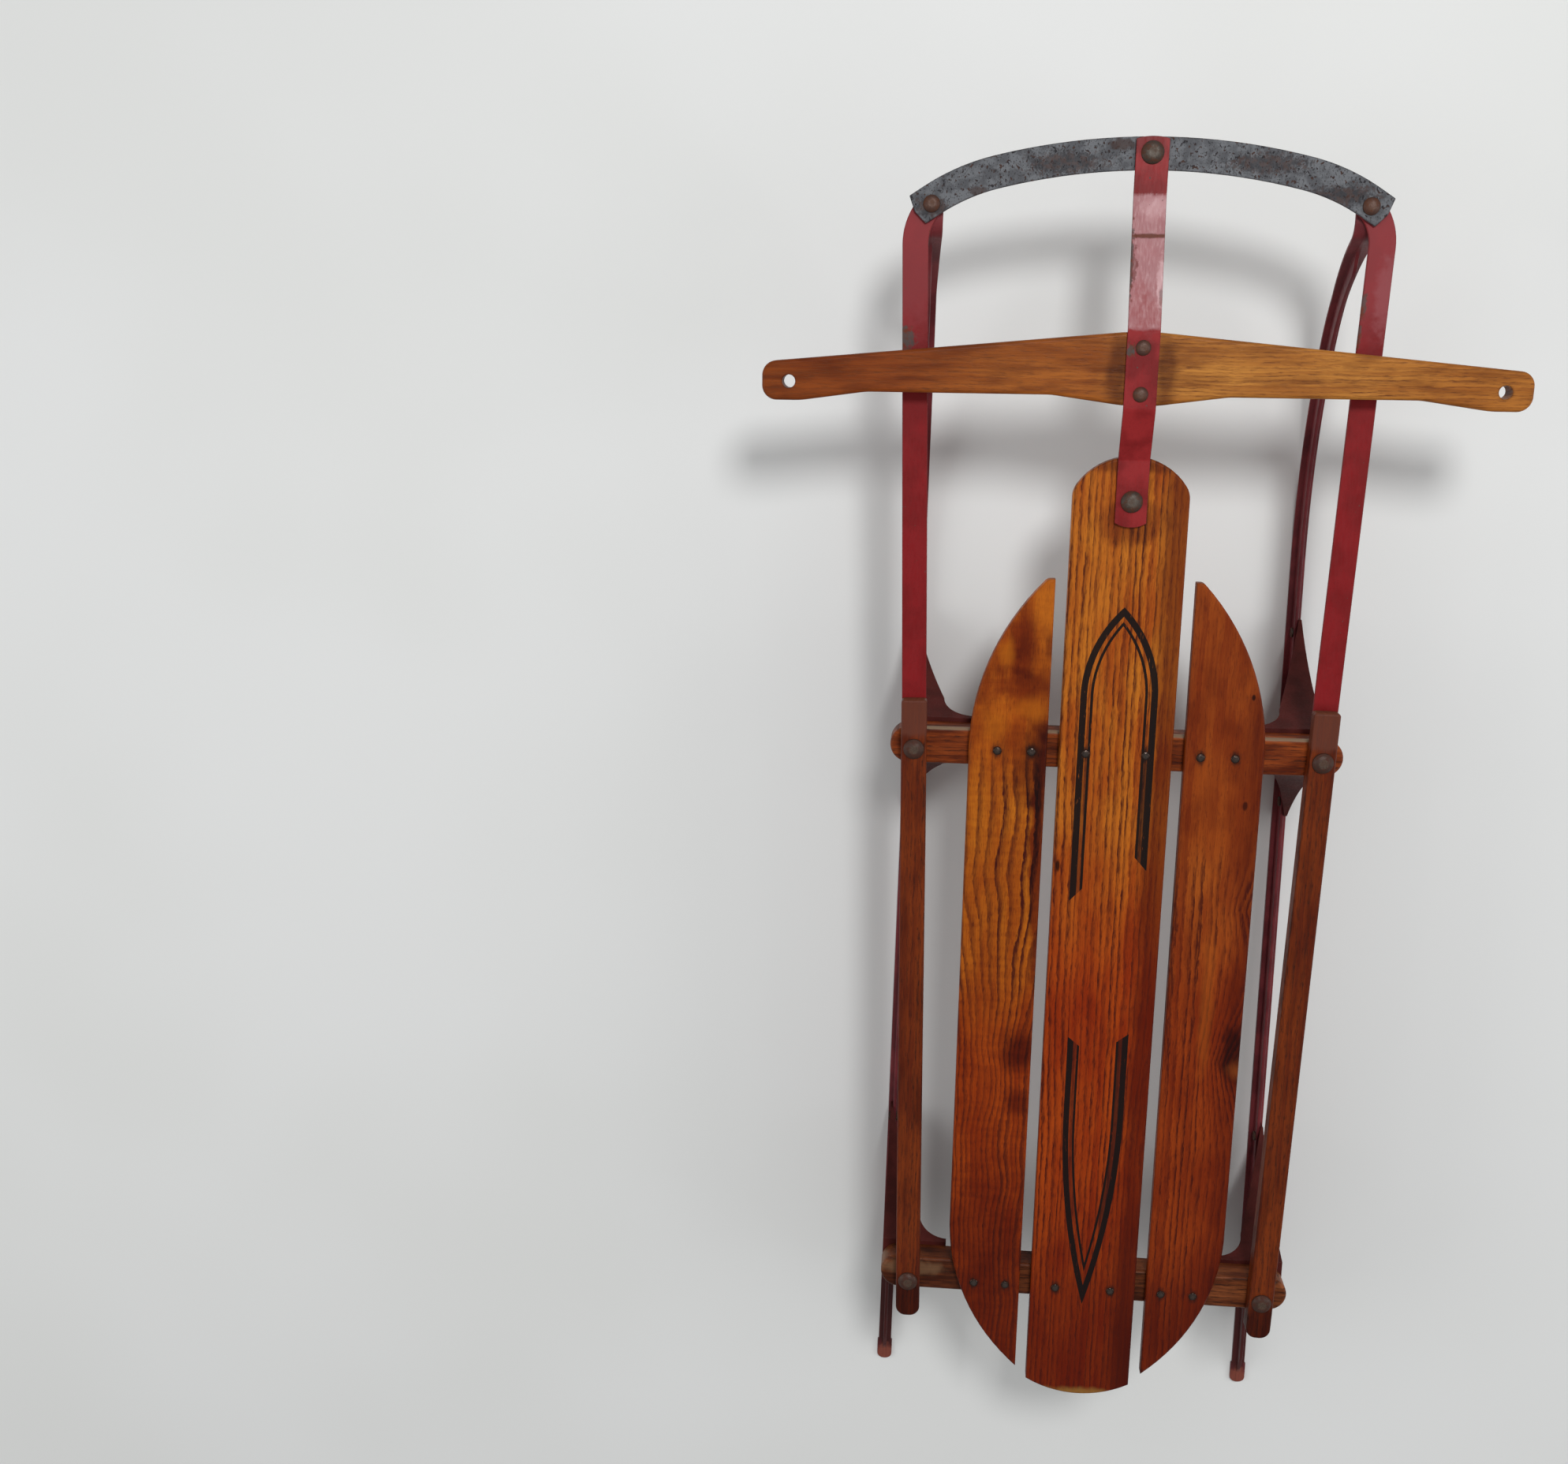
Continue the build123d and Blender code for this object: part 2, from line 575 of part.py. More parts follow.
def knee_side(inset):
    """Side view of a knee, drawn inset from its outside by a plate's thickness or none."""
    foot_z = FLANGE_T + KNEE_FOOT_CLEAR
    ledge_z = foot_z + WEB_H
    top, foot = KNEE_TOP_HALF - inset, KNEE_FOOT_HALF - inset
    low, high = foot_z - 2 * inset, BUNK_Z - inset
    bow = (KNEE_TOP_HALF + (foot - KNEE_TOP_HALF) * 0.42 - inset, ledge_z + (BUNK_Z - ledge_z) * 0.43)
    return make_face([
        Line((-top, high), (top, high)),
        ThreePointArc((top, high), bow, (foot, ledge_z - inset)),
        Line((foot, ledge_z - inset), (foot, low)),
        Line((foot, low), (-foot, low)),
        Line((-foot, low), (-foot, ledge_z - inset)),
        ThreePointArc((-foot, ledge_z - inset), (-bow[0], bow[1]), (-top, high)),
    ])


def knee(s, y, bolt_x):
    """Pressed knee: arched leg on the runner's web, gussets that widen up to the bunk, top plate."""
    x_leg = WEB_T / 2
    x_out = x_leg + KNEE_T
    x_in, x_waist = x_out - KNEE_TOP_W, x_out - KNEE_WAIST_W
    foot_z = FLANGE_T + KNEE_FOOT_CLEAR
    ledge_z = foot_z + WEB_H
    lip_z, waist_z = BUNK_Z - KNEE_LIP, BUNK_Z - KNEE_WAIST_DROP
    span = 2 * KNEE_FOOT_HALF
    arch = make_face([
        Line((-KNEE_ARCH_HALF, foot_z - 1), (KNEE_ARCH_HALF, foot_z - 1)),
        ThreePointArc((KNEE_ARCH_HALF, foot_z - 1), (0, foot_z + KNEE_ARCH_H), (-KNEE_ARCH_HALF, foot_z - 1)),
    ])
    leg = in_yz(knee_side(0) - arch, x_leg, x_out)
    shell = in_yz(knee_side(0), x_in, x_out)
    shell -= in_yz(knee_side(KNEE_T), x_in - 1, x_leg)
    bow = (x_waist - (x_waist - x_in) * 0.27, waist_z + (lip_z - waist_z) * 0.66)
    front_view = make_face([
        Line((x_in, BUNK_Z), (x_out, BUNK_Z)),
        Line((x_out, BUNK_Z), (x_out, ledge_z)),
        Line((x_out, ledge_z), (x_leg, ledge_z)),
        Line((x_leg, ledge_z), (x_waist, waist_z)),
        ThreePointArc((x_waist, waist_z), bow, (x_in, lip_z)),
        Line((x_in, lip_z), (x_in, BUNK_Z)),
    ])
    body = on_runner(Pos(0, along(y), 0) * (leg + (shell & in_xz(front_view, -span, span))))
    return sided(body - rod(bolt_x, y, BOLT_R) - knee_rivet_bores(), s)


def knee_rivets(s):
    """Rivets through one runner's web and the feet of its two knees."""
    grip = WEB_T + KNEE_T
    rivet = Cylinder(KNEE_RIVET_R, grip + 2 * KNEE_RIVET_HEAD_H)
    for _, e in SIDES:
        rivet += Pos(0, 0, e * (grip + KNEE_RIVET_HEAD_H) / 2) * Cylinder(KNEE_RIVET_HEAD_R, KNEE_RIVET_HEAD_H)
    rivet = Rot(0, 90, 0) * rivet
    return [
        one(sided(on_runner(Pos(KNEE_T / 2, y, KNEE_RIVET_Z) * rivet), s))
        for y in knee_rivet_stations()]


def bumper_rivet(s):
    """Rivet through the runner's tab, the side strap and the bumper."""
    head_z = BUMPER_Z + STRAP_T + SLIDE_CLEAR
    rivet = dome(s * RIVET_X, RIVET_Y, head_z, RIVET_HEAD_R, RIVET_HEAD_H)
    rivet += rod(s * RIVET_X, RIVET_Y, RIVET_R, NOSE_TOP, head_z)
    return rivet + rod(s * RIVET_X, RIVET_Y, RIVET_TAIL_R, NOSE_TOP - RIVET_TAIL_H, NOSE_TOP)


def main():
    """Builds every node and writes its STEP file."""
    os.makedirs("parts", exist_ok=True)
    write("deck_slat_center", [one(center_slat())])
    stations = (
        ("front", BUNK_FRONT_Y, BUNK_FRONT_HALF, RAIL_FRONT_X),
        ("rear", BUNK_REAR_Y, BUNK_REAR_HALF, RAIL_REAR_X),
    )
    bunk_bolts = []
    for end, y, half, bolt_x in stations:
        write(f"bunk_{end}", [one(bunk(half, y, bolt_x))])
        write(f"deck_nails_{end}", [one(nail(x, y)) for x, _ in deck_nail_xs()])
        for name, s in SIDES:
            write(f"knee_{end}_{name}", [one(knee(s, y, bolt_x))])
            bunk_bolts.append(one(bolt(s * bolt_x, y, RAIL_TOP_Z, BUNK_Z - KNEE_T)))
    write("bunk_bolts", bunk_bolts)
    for name, s in SIDES:
        write(f"deck_slat_{name}", [one(outer_slat(name, s))])
        write(f"side_rail_{name}", [one(side_rail(s))])
        write(f"side_strap_{name}", [one(side_strap(s))])
        write(f"runner_{name}", [one(runner(s))])
        write(f"runner_nose_{name}", [one(runner_nose(s))])
        write(f"knee_rivets_{name}", knee_rivets(s))
        write(f"bumper_rivet_{name}", [one(bumper_rivet(s))])
    write("steering_bar", [one(steering_bar())])
    write("center_strap", [one(center_strap())])
    write("bumper", [one(bumper())])
    write("steering_bar_bolts", [
        one(bolt(0, y, BAR_TOP_Z + STRAP_T, BAR_Z, SMALL_BOLT_R, SMALL_HEAD_R, SMALL_HEAD_H))
        for y in BAR_BOLT_YS])
    write("bumper_bolt", [one(bolt(0, BUMPER_BOLT_Y, NOSE_STRAP_Z + STRAP_T, BUMPER_Z - SLIDE_CLEAR))])
    write("pivot_bolt", [one(bolt(0, PIVOT_Y, DECK_HEIGHT + STRAP_T + 2 * SLIDE_CLEAR, SLAT_Z))])


main()
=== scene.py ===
"""Dresses a child's steerable snow sled: varnished ash boards on painted steel runners."""
from __future__ import annotations

import logging
import math
from dataclasses import dataclass
from enum import Enum
from typing import Sequence

import bmesh
import bpy
import numpy as np
from bpy.types import Material, NodeSocket as Socket, Object, World
from mathutils import Matrix, Vector


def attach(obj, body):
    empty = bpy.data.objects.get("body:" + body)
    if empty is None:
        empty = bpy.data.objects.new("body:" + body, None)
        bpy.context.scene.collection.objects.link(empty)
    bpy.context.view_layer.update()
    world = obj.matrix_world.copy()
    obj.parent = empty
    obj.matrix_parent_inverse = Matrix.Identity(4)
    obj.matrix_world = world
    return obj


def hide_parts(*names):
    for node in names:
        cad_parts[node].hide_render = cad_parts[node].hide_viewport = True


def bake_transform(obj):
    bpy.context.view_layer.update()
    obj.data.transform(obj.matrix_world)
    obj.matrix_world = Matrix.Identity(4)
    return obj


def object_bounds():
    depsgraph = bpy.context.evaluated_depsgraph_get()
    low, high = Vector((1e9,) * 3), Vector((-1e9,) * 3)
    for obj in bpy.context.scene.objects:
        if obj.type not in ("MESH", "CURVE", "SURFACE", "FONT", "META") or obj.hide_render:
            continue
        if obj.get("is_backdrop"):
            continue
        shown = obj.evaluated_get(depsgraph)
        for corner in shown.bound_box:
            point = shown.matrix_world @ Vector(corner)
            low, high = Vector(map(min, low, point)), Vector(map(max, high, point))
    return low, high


LOG = logging.getLogger("sled")
MM = 0.001
DECK_TOP = 165.0
CREASE = math.radians(38)  # a corner sharper than this stays a corner
FLAT = math.radians(0.6)  # faces that meet flatter than this are one
WELD = 1e-6
SIDES = (("left", -1), ("right", 1))
MODES = {"Math": "operation", "VectorMath": "operation", "MapRange": "interpolation_type", "MixRGB": "blend_type"}
SOFT = "MapRange.SMOOTHSTEP"  # a ramp that starts and ends softly
Feed = Socket | float | Sequence[float] | None


class Grain(Enum):
    """The way a board's fibres run."""

    LENGTHWISE = "along the sled"
    CROSSWISE = "across the sled"


class Axis(Enum):
    """An axis of the sled."""

    X = 0
    Y = 1


class Slot(Enum):
    """The record's finishes."""

    ASH = "varnished_ash"
    RED = "red_paint"
    MAROON = "maroon_paint"
    BLUE = "grey_blue_paint"
    STEEL = "weathered_steel"


class Stain(str, Enum):
    """Tones that age, dirt and the painter leave on the wood, and the tone of its darkened corners."""

    CURL = "#9A685C"
    RIPPLE = "#B98C70"
    DIRT = "#8E6A5E"
    KNOT = "#3A170B"
    NAIL = "#1E0F0A"
    STRIPE = "#120D0C"
    CORNER = "#3A180C"
    END_GRAIN = "#6A4228"


class Noise(Enum):
    """Lump size across, along and through the grain in millimetres, place in the noise, finer layers.

    Pores and fibres are drawn two or three times as wide as real ones, so that they show in the picture.
    """

    # Wood: lines that waver and break into pores, patches of tone, ragged stains, halos of nails and rubbed paint
    WAVER = ((7.0, 34.0, 9.0), 1, 2.0)
    DASH = ((1.7, 13.0, 3.0), 2, 4.0)
    PORE = ((0.8, 7.0, 1.0), 3, 2.0)
    PATCH = ((26.0, 80.0, 40.0), 4, 3.0)
    BLOT = ((13.0, 19.0, 15.0), 5, 5.0)
    IRON_MARK = ((2.5, 5.0, 3.0), 6, 3.0)
    RUBBED_PAINT = ((1.6, 9.0, 3.0), 7, 4.0)
    WASH = ((16.0, 36.0, 16.0), 8, 3.0)
    FIBRE = ((1.1, 30.0, 2.0), 9, 3.0)
    CURL = ((24.0, 30.0, 30.0), 10, 3.0)
    RIPPLE = ((30.0, 6.0, 30.0), 11, 2.0)
    DIRT = ((8.0, 44.0, 16.0), 12, 6.0)
    RAGGED = ((1.1, 6.0, 3.0), 13, 2.0)
    # Enamel: flaking fades, gritty chips, blotches of rust, the streaks of the brush and fine dirt
    FLAKE = ((6.0, 6.0, 6.0), 1, 6.0)
    GRIT = ((2.6, 3.4, 2.6), 2, 5.0)
    BLOTCH = ((5.0, 5.0, 5.0), 3, 6.0)
    BRUSH = ((1.4, 9.0, 1.4), 4, 3.0)
    SPECK = ((1.1, 1.5, 1.1), 5, 2.0)
    # Iron: blooms of rust and the pits that they leave
    BLOOM = ((4.0, 4.0, 4.0), 0, 6.0)
    PIT = ((1.1, 1.1, 1.1), 1, 4.0)


def linear(colour: str) -> tuple[float, float, float, float]:
    """Turns an sRGB hex colour into linear light.

    Args:
        colour: a hash and six hex digits.

    Returns:
        Red, green and blue in linear light, and an alpha of one.
    """
    parts = [int(colour[i : i + 2], 16) / 255 for i in (1, 3, 5)]
    r, g, b = (c / 12.92 if c <= 0.04045 else ((c + 0.055) / 1.055) ** 2.4 for c in parts)
    return r, g, b, 1.0


# Finishes


@dataclass(frozen=True)
class Spot:
    """An oval mark in millimetres on the plan of the sled, its rim soft or sharp and frayed by noise.

    It lies only above its floor.
    """

    x: float
    y: float
    wide: float
    long: float
    tone: str = "#000000"
    depth: float = 1.0
    rim: float = 0.7
    fray: float = 1.2
    floor: float = 0.0


@dataclass(frozen=True)
class Wash:
    """A drift of tone between two stations along an axis, and how much of the grain it hides."""

    start: float
    end: float
    tone: str
    depth: float = 1.0
    hush: float = 0.0
    wander: float = 12.0
    axis: Axis = Axis.Y


@dataclass(frozen=True)
class Knot:
    """The foot of a branch: a dark eye that the grain bends round."""

    x: float
    y: float
    wide: float
    long: float
    push: float
    eye: float
    depth: float

    def shade(self) -> Spot:
        """The wood round the eye, where the lines are darker."""
        return Spot(self.x, self.y, self.wide, self.long, depth=0.8, rim=0.9, fray=0.0)

    def heart(self) -> Spot:
        """The eye itself."""
        return Spot(self.x, self.y, self.wide * self.eye, self.long * self.eye, Stain.KNOT, self.depth, 1.0, 1.4)


class Coat:
    """The node tree of one material, read in millimetres of the sled's own frame."""

    def __init__(self, name: str, seed: float, crosswise: bool = False) -> None:
        """Starts an empty tree.

        Args:
            name: plain name of the material.
            seed: place in the noise, so that no two pieces match.
            crosswise: turns the noise, for a board that lies across the sled.
        """
        self.seed, self.crosswise = seed, crosswise
        self.material = bpy.data.materials.new(name)
        self.material.use_nodes = True
        self.tree = self.material.node_tree
        self.tree.nodes.clear()
        self.mm = self.add("VectorMath.MULTIPLY", self.add("TexCoord", out="Object"), (1 / MM,) * 3)
        self.x, self.y, self.z = (self.add("SeparateXYZ", self.mm, out=axis) for axis in "XYZ")

    def add(self, kind: str, *feeds: Feed, out: int | str | None = 0, stops: Sequence[tuple[float, float]] = (),
            links: dict[str, Feed] | None = None, **settings: object) -> Socket | None:
        """Adds one node with its settings and links.

        Args:
            kind: node type after ShaderNode with its mode after a dot, or the mode of a Math node alone.
            feeds: values or sockets for its inputs in order, None to skip one.
            out: the output wanted, or None for a node without one.
            stops: positions and grey levels of a ramp.
            links: values or sockets for inputs given by name.
            settings: other properties of the node.

        Returns:
            The output socket, or None.
        """
        kind, mode = ("Math", kind) if kind.isupper() else kind.partition(".")[::2]
        node = self.tree.nodes.new("ShaderNode" + kind)
        if mode:
            setattr(node, MODES[kind], mode)
        for name, value in settings.items():
            setattr(node, name, value)
        for _ in stops[2:]:
            node.color_ramp.elements.new(0.5)
        for place, (position, level) in enumerate(stops):
            node.color_ramp.elements[place].position = position
            node.color_ramp.elements[place].color = (level, level, level, 1.0)
        for key, value in [*enumerate(feeds), *(links or {}).items()]:
            if isinstance(value, Socket):
                self.tree.links.new(value, node.inputs[key])
            elif value is not None:
                node.inputs[key].default_value = value
        return None if out is None else node.outputs[out]

    def cloud(self, size: Sequence[float], place: float, detail: float, out: str = "Fac", turn: bool = True) -> Socket:
        """Soft noise about a half, with lumps of the given size.

        Args:
            size: length of a lump across, along and through the grain in millimetres.
            place: moves it in the noise.
            detail: finer layers that are added.
            out: Fac for a number, Color for three.
            turn: whether it follows the grain.

        Returns:
            The noise socket.
        """
        across, along, deep = (1 / s for s in size)
        rates = (along, across, deep) if self.crosswise and turn else (across, along, deep)
        start = tuple((self.seed + place) * step for step in (7.31, 3.17, 5.71))
        moved = self.add("VectorMath.ADD", self.add("VectorMath.MULTIPLY", self.mm, rates), start)
        return self.add("TexNoise", moved, out=out, links={"Scale": 1.0, "Detail": detail})

    def mark(self, spot: Spot, noise: Feed = 0.5) -> Socket:
        """Share of a spot: distance from its middle against its half widths, turned over at the rim.

        Args:
            spot: the mark.
            noise: number about a half that frays the rim.

        Returns:
            A socket from 0 outside to the spot's depth inside.
        """
        away = self.add("VectorMath.SUBTRACT", self.mm, (spot.x, spot.y, 0.0))
        scaled = self.add("VectorMath.MULTIPLY", away, (1 / spot.wide, 1 / spot.long, 0.0))
        reach = self.add("VectorMath.LENGTH", scaled, out="Value")
        if spot.fray:
            reach = self.add("MULTIPLY_ADD", self.add("SUBTRACT", noise, 0.5), spot.fray, reach)
        share = self.add(SOFT, reach, 1 + spot.rim / 2, 1 - spot.rim / 2, 0.0, spot.depth)
        if spot.floor:
            above = self.add(SOFT, self.z, spot.floor - 1.0, spot.floor + 1.0)
            share = self.add("MULTIPLY", share, above)
        return share

    def washed(self, wash: Wash, noise: Socket) -> Socket:
        """Share of a wash, from nothing at its start to one at its end.

        Args:
            wash: the drift of tone.
            noise: number about a half that makes its line wander.

        Returns:
            A socket from 0 to 1.
        """
        place = self.x if wash.axis is Axis.X else self.y
        moved = self.add("MULTIPLY_ADD", self.add("SUBTRACT", noise, 0.5), 2 * wash.wander, place)
        return self.add(SOFT, moved, wash.start, wash.end)

    def tinted(self, colour: Socket, tone: str, share: Socket) -> Socket:
        """Multiplies a colour by a tone over a share of the surface."""
        return self.add("MixRGB", share, colour, self.add("MixRGB.MULTIPLY", 1.0, colour, linear(tone)))

    def covered(self, colour: Socket, spots: Sequence[Spot], noise: Socket) -> Socket:
        """Lays each spot's own tone over a colour.

        Args:
            colour: what lies below.
            spots: the marks, the last on top.
            noise: frays their rims.

        Returns:
            The covered colour.
        """
        for spot in spots:
            colour = self.add("MixRGB", self.mark(spot, noise), colour, linear(spot.tone))
        return colour

    def edge(self, reach: float) -> Socket:
        """Share of a corner: how far a normal rounded over so many millimetres leaves the true one."""
        rounded, true = self.add("Bevel", reach * MM, samples=4), self.add("NewGeometry", out="True Normal")
        return self.add(SOFT, self.add("VectorMath.DOT_PRODUCT", rounded, true, out="Value"), 0.99, 0.80)

    def done(self, colour: Socket, links: dict[str, Feed]) -> Material:
        """Closes the tree with a shader of this colour and these other inputs."""
        self.add("OutputMaterial", self.add("BsdfPrincipled", colour, links=links), out=None)
        return self.material


@dataclass(frozen=True)
class PointedStripe:
    """A double line that runs to a point, as a coach painter's edging does.

    Between its lines the paint has pooled over part of the legs, less on the left one.
    """

    point_y: float
    spring_y: float
    half: float
    thick: float
    thin: float
    inset: float
    cut_left: float
    cut_right: float
    slant: float
    pool: tuple[float, float]
    pool_left: float
    pool_depth: float = 0.74
    pool_fade: float = 30.0

    def share(self, coat: Coat) -> Socket:
        """Paint share of the stripe: distance inside an arch of two arcs on straight legs.

        Each arc starts upright at the spring with a radius that brings it to the point.

        Args:
            coat: tree that reads it.

        Returns:
            A socket from 0 to 1.
        """
        add = coat.add
        way = 1 if self.point_y > self.spring_y else -1
        rise = abs(self.point_y - self.spring_y)
        radius = (rise ** 2 + self.half ** 2) / (2 * self.half)
        across = add("ABSOLUTE", coat.x)
        past = add("MULTIPLY", add("SUBTRACT", coat.y, self.spring_y), float(way))
        risen = add("MAXIMUM", past, 0.0)
        pair = add("CombineXYZ", add("ADD", across, radius - self.half), risen, 0.0)
        inside = add("SUBTRACT", radius, add("VectorMath.LENGTH", pair, out="Value"))
        outer = add("COMPARE", inside, self.thick / 2, self.thick / 2)
        inner = add("COMPARE", inside, self.inset, self.thin / 2)
        gap = add("COMPARE", inside, (self.thick + self.inset) / 2, (self.inset - self.thick) / 2)
        side = add("GREATER_THAN", coat.x, 0.0)
        back, front = self.pool
        begun = add(SOFT, coat.y, back, back + self.pool_fade, 0.0, self.pool_depth)
        ended = add(SOFT, coat.y, front, front - self.pool_fade)
        full = add("MapRange", side, 0.0, 1.0, self.pool_left, 1.0)
        pooled = add("MULTIPLY", add("MULTIPLY", begun, ended), add("MULTIPLY", gap, full))
        cut = add("MapRange", side, 0.0, 1.0, self.cut_left * way, self.cut_right * way)
        slanted = add("MULTIPLY_ADD", inside, self.slant, cut)
        kept = add("GREATER_THAN", add("MULTIPLY", coat.y, float(way)), slanted)
        lines = add("MAXIMUM", add("MAXIMUM", outer, inner), pooled)
        return add("MULTIPLY", lines, kept)


@dataclass(frozen=True)
class VarnishedAsh:
    """Ash, plain sawn and varnished, which age has turned amber to brown.

    Its large spring pores make dark broken lines a few millimetres apart, under a soft gloss.
    """

    name: str
    seed: float
    grain: Grain = Grain.LENGTHWISE
    # The board's middle, and the pith's place beside it, below the deck's top and along the climb of the trunk
    middle: float = 0.0
    pith_across: float = -160.0
    pith_below: float = 30.0
    climb: float = 0.01
    # Width of a year's ring, its width at the far end, and the stretch over which it changes
    ring: float = 4.0
    ring_close: float = 4.0
    close: tuple[float, float] = (-100.0, -260.0)
    # How far the rings sway, over what length, how they waver, how their widths differ and how whole each line is
    sway: float = 6.0
    sway_long: float = 200.0
    waver: float = 0.7
    uneven: float = 2.5
    unbroken: float = 0.35
    light: str = "#A9631C"
    body: str = "#8A4310"
    dark: str = "#34120A"
    ring_depth: float = 0.9
    # Shares of curly figure, which on the right slat paints a faint sheen, of bars across the grain and of dirt, then
    # width and depth of the darkened corners
    figure: float = 0.0
    ripple: float = 0.0
    mottle: float = 0.0
    rim: tuple[float, float] = (1.6, 0.5)
    gloss: float = 0.12
    washes: tuple[Wash, ...] = ()
    spots: tuple[Spot, ...] = ()
    worn: tuple[Spot, ...] = ()
    knots: tuple[Knot, ...] = ()
    nails: tuple[tuple[float, float], ...] = ()
    stripes: tuple[PointedStripe, ...] = ()

    def rings(self, coat: Coat) -> Socket:
        """Ring number at each place: distance from a tilted, swaying pith over the ring's width.

        Knots push the rings aside in a cusp, and noise of that distance makes some years wider than others.

        Args:
            coat: tree that reads it.

        Returns:
            A socket that counts rings from the board's middle.
        """
        add = coat.add
        along, across = (coat.x, coat.y) if coat.crosswise else (coat.y, coat.x)
        drift = coat.cloud((48.0, self.sway_long, 48.0), 0.0, 1.5, "Color")
        sway = add("VectorMath.MULTIPLY_ADD", drift, (2 * self.sway,) * 3, (-self.sway,) * 3)
        sideways = add("SUBTRACT", across, self.pith_across)
        depth = add("MULTIPLY_ADD", along, self.climb, self.pith_below - DECK_TOP)
        pair = add("CombineXYZ", sideways, add("ADD", depth, coat.z), 0.0)
        reach = add("VectorMath.LENGTH", add("VectorMath.ADD", pair, sway), out="Value")
        for knot in self.knots:
            beside = add("ABSOLUTE", add("SUBTRACT", coat.x, knot.x))
            past = add("ABSOLUTE", add("SUBTRACT", coat.y, knot.y))
            near = add(SOFT, beside, 2 * knot.wide, 0.0)
            cusp = add("POWER", add("MapRange", past, 0.0, 2 * knot.long, 1.0, 0.0), 2.0)
            reach = add("MULTIPLY_ADD", add("MULTIPLY", near, cusp), -knot.push, reach)
        from_middle = add("SUBTRACT", reach, math.hypot(self.middle - self.pith_across, self.pith_below))
        year = add("MULTIPLY_ADD", from_middle, 0.12, self.seed)
        good = add("TexNoise", links={"W": year, "Scale": 1.0, "Detail": 1.0}, noise_dimensions="1D")
        from_middle = add("MULTIPLY_ADD", good, 2 * self.uneven, from_middle)
        pitch = add(SOFT, along, *self.close, 1 / self.ring, 1 / self.ring_close)
        waver = coat.cloud(*Noise.WAVER.value)
        ragged = coat.cloud(*Noise.RAGGED.value)
        count = add("MULTIPLY_ADD", ragged, 0.4, add("MULTIPLY", from_middle, pitch))
        return add("MULTIPLY_ADD", waver, self.waver, count)

    def material(self) -> Material:
        """Builds the wood: rings about a tilted pith, pores in them, stains and painted shade, stripes and darkened
        corners.

        Returns:
            The finished material.
        """
        coat = Coat(self.name, self.seed, self.grain is Grain.CROSSWISE)
        add = coat.add

        # A ring starts with a sharp row of dark pores and fades to dense pale wood
        rings = self.rings(coat)
        phase = add("FRACT", rings)
        band = add("ValToRGB", phase, stops=((0.0, 0.0), (0.12, 1.0), (0.3, 0.8), (0.6, 0.15), (1.0, 0.0)))
        lot = add("TexWhiteNoise", None, add("FLOOR", rings), noise_dimensions="1D", out="Value")
        strong = add("MULTIPLY", band, add("MapRange", lot, 0.0, 1.0, 0.5, 1.0))
        dashes = coat.cloud(*Noise.DASH.value)
        broken = add("MapRange", dashes, 0.40, 0.60, self.unbroken, 1.4)
        line = add("MULTIPLY", strong, broken, use_clamp=True)
        pores = add(SOFT, coat.cloud(*Noise.PORE.value), 0.53, 0.66)

        # Washes of age hide some of the grain
        wander = coat.cloud(*Noise.WASH.value)
        shares = [(wash, coat.washed(wash, wander)) for wash in self.washes]
        hidden: Feed = 0.0
        for wash, share in shares:
            if wash.hush:
                hidden = add("MAXIMUM", add("MULTIPLY", share, wash.hush), hidden)
        line = add("MULTIPLY", line, add("SUBTRACT", 1.0, hidden))
        for knot in self.knots:
            line = add("MULTIPLY", line, add("ADD", coat.mark(knot.shade()), 1.0), use_clamp=True)

        # Amber and brown drift through the board, from ring to ring and in patches
        fibre = coat.cloud(*Noise.FIBRE.value)
        patch = coat.cloud(*Noise.PATCH.value)
        mixed = add("MULTIPLY_ADD", fibre, 0.4, add("MULTIPLY_ADD", lot, 0.22, patch))
        warm = add(SOFT, mixed, 0.55, 1.05)
        colour = add("MixRGB", warm, linear(self.body), linear(self.light))
        # Curly figure, bars across the grain and dirt; on the right slat the curly figure is a painted sheen
        for stain, kind, low, high, depth, where in (
                (Stain.CURL, Noise.CURL, 0.42, 0.60, self.figure, hidden),
                (Stain.RIPPLE, Noise.RIPPLE, 0.44, 0.62, self.ripple, 1.0),
                (Stain.DIRT, Noise.DIRT, 0.42, 0.68, self.mottle, 1.0)):
            if depth:
                lumps = coat.cloud(*kind.value)
                shown = add("MULTIPLY", add(SOFT, lumps, low, high, 0.0, depth), where)
                colour = coat.tinted(colour, stain, shown)
        # Washes tint the board; those that darken it toward the tail are partly its own tone and partly painted shade
        for wash, share in shares:
            colour = coat.tinted(colour, wash.tone, add("MULTIPLY", share, wash.depth))
        colour = add("MixRGB", add("MULTIPLY", line, self.ring_depth), colour, linear(self.dark))
        fleck = add("MULTIPLY", pores, add("MULTIPLY_ADD", line, 0.5, 0.28))
        colour = add("MixRGB", fleck, colour, linear(self.dark))

        # Stains and painted shade, knots and the iron marks round each nail do not follow the grain
        blot = coat.cloud(*Noise.BLOT.value, turn=False)
        for spot in self.spots:
            colour = coat.tinted(colour, spot.tone, coat.mark(spot, blot))
        colour = coat.covered(colour, [*self.worn, *(knot.heart() for knot in self.knots)], blot)
        marks = [Spot(x, y, 3.6, 5.4, Stain.NAIL, 0.8, 1.1, 1.6) for x, y in self.nails]
        colour = coat.covered(colour, marks, coat.cloud(*Noise.IRON_MARK.value))
        for stripe in self.stripes:
            worn = add(SOFT, coat.cloud(*Noise.RUBBED_PAINT.value), 0.76, 0.64, 0.4, 0.98)
            rubbed_and_lit = add("MULTIPLY", stripe.share(coat), worn)
            colour = add("MixRGB", rubbed_and_lit, colour, linear(Stain.STRIPE))
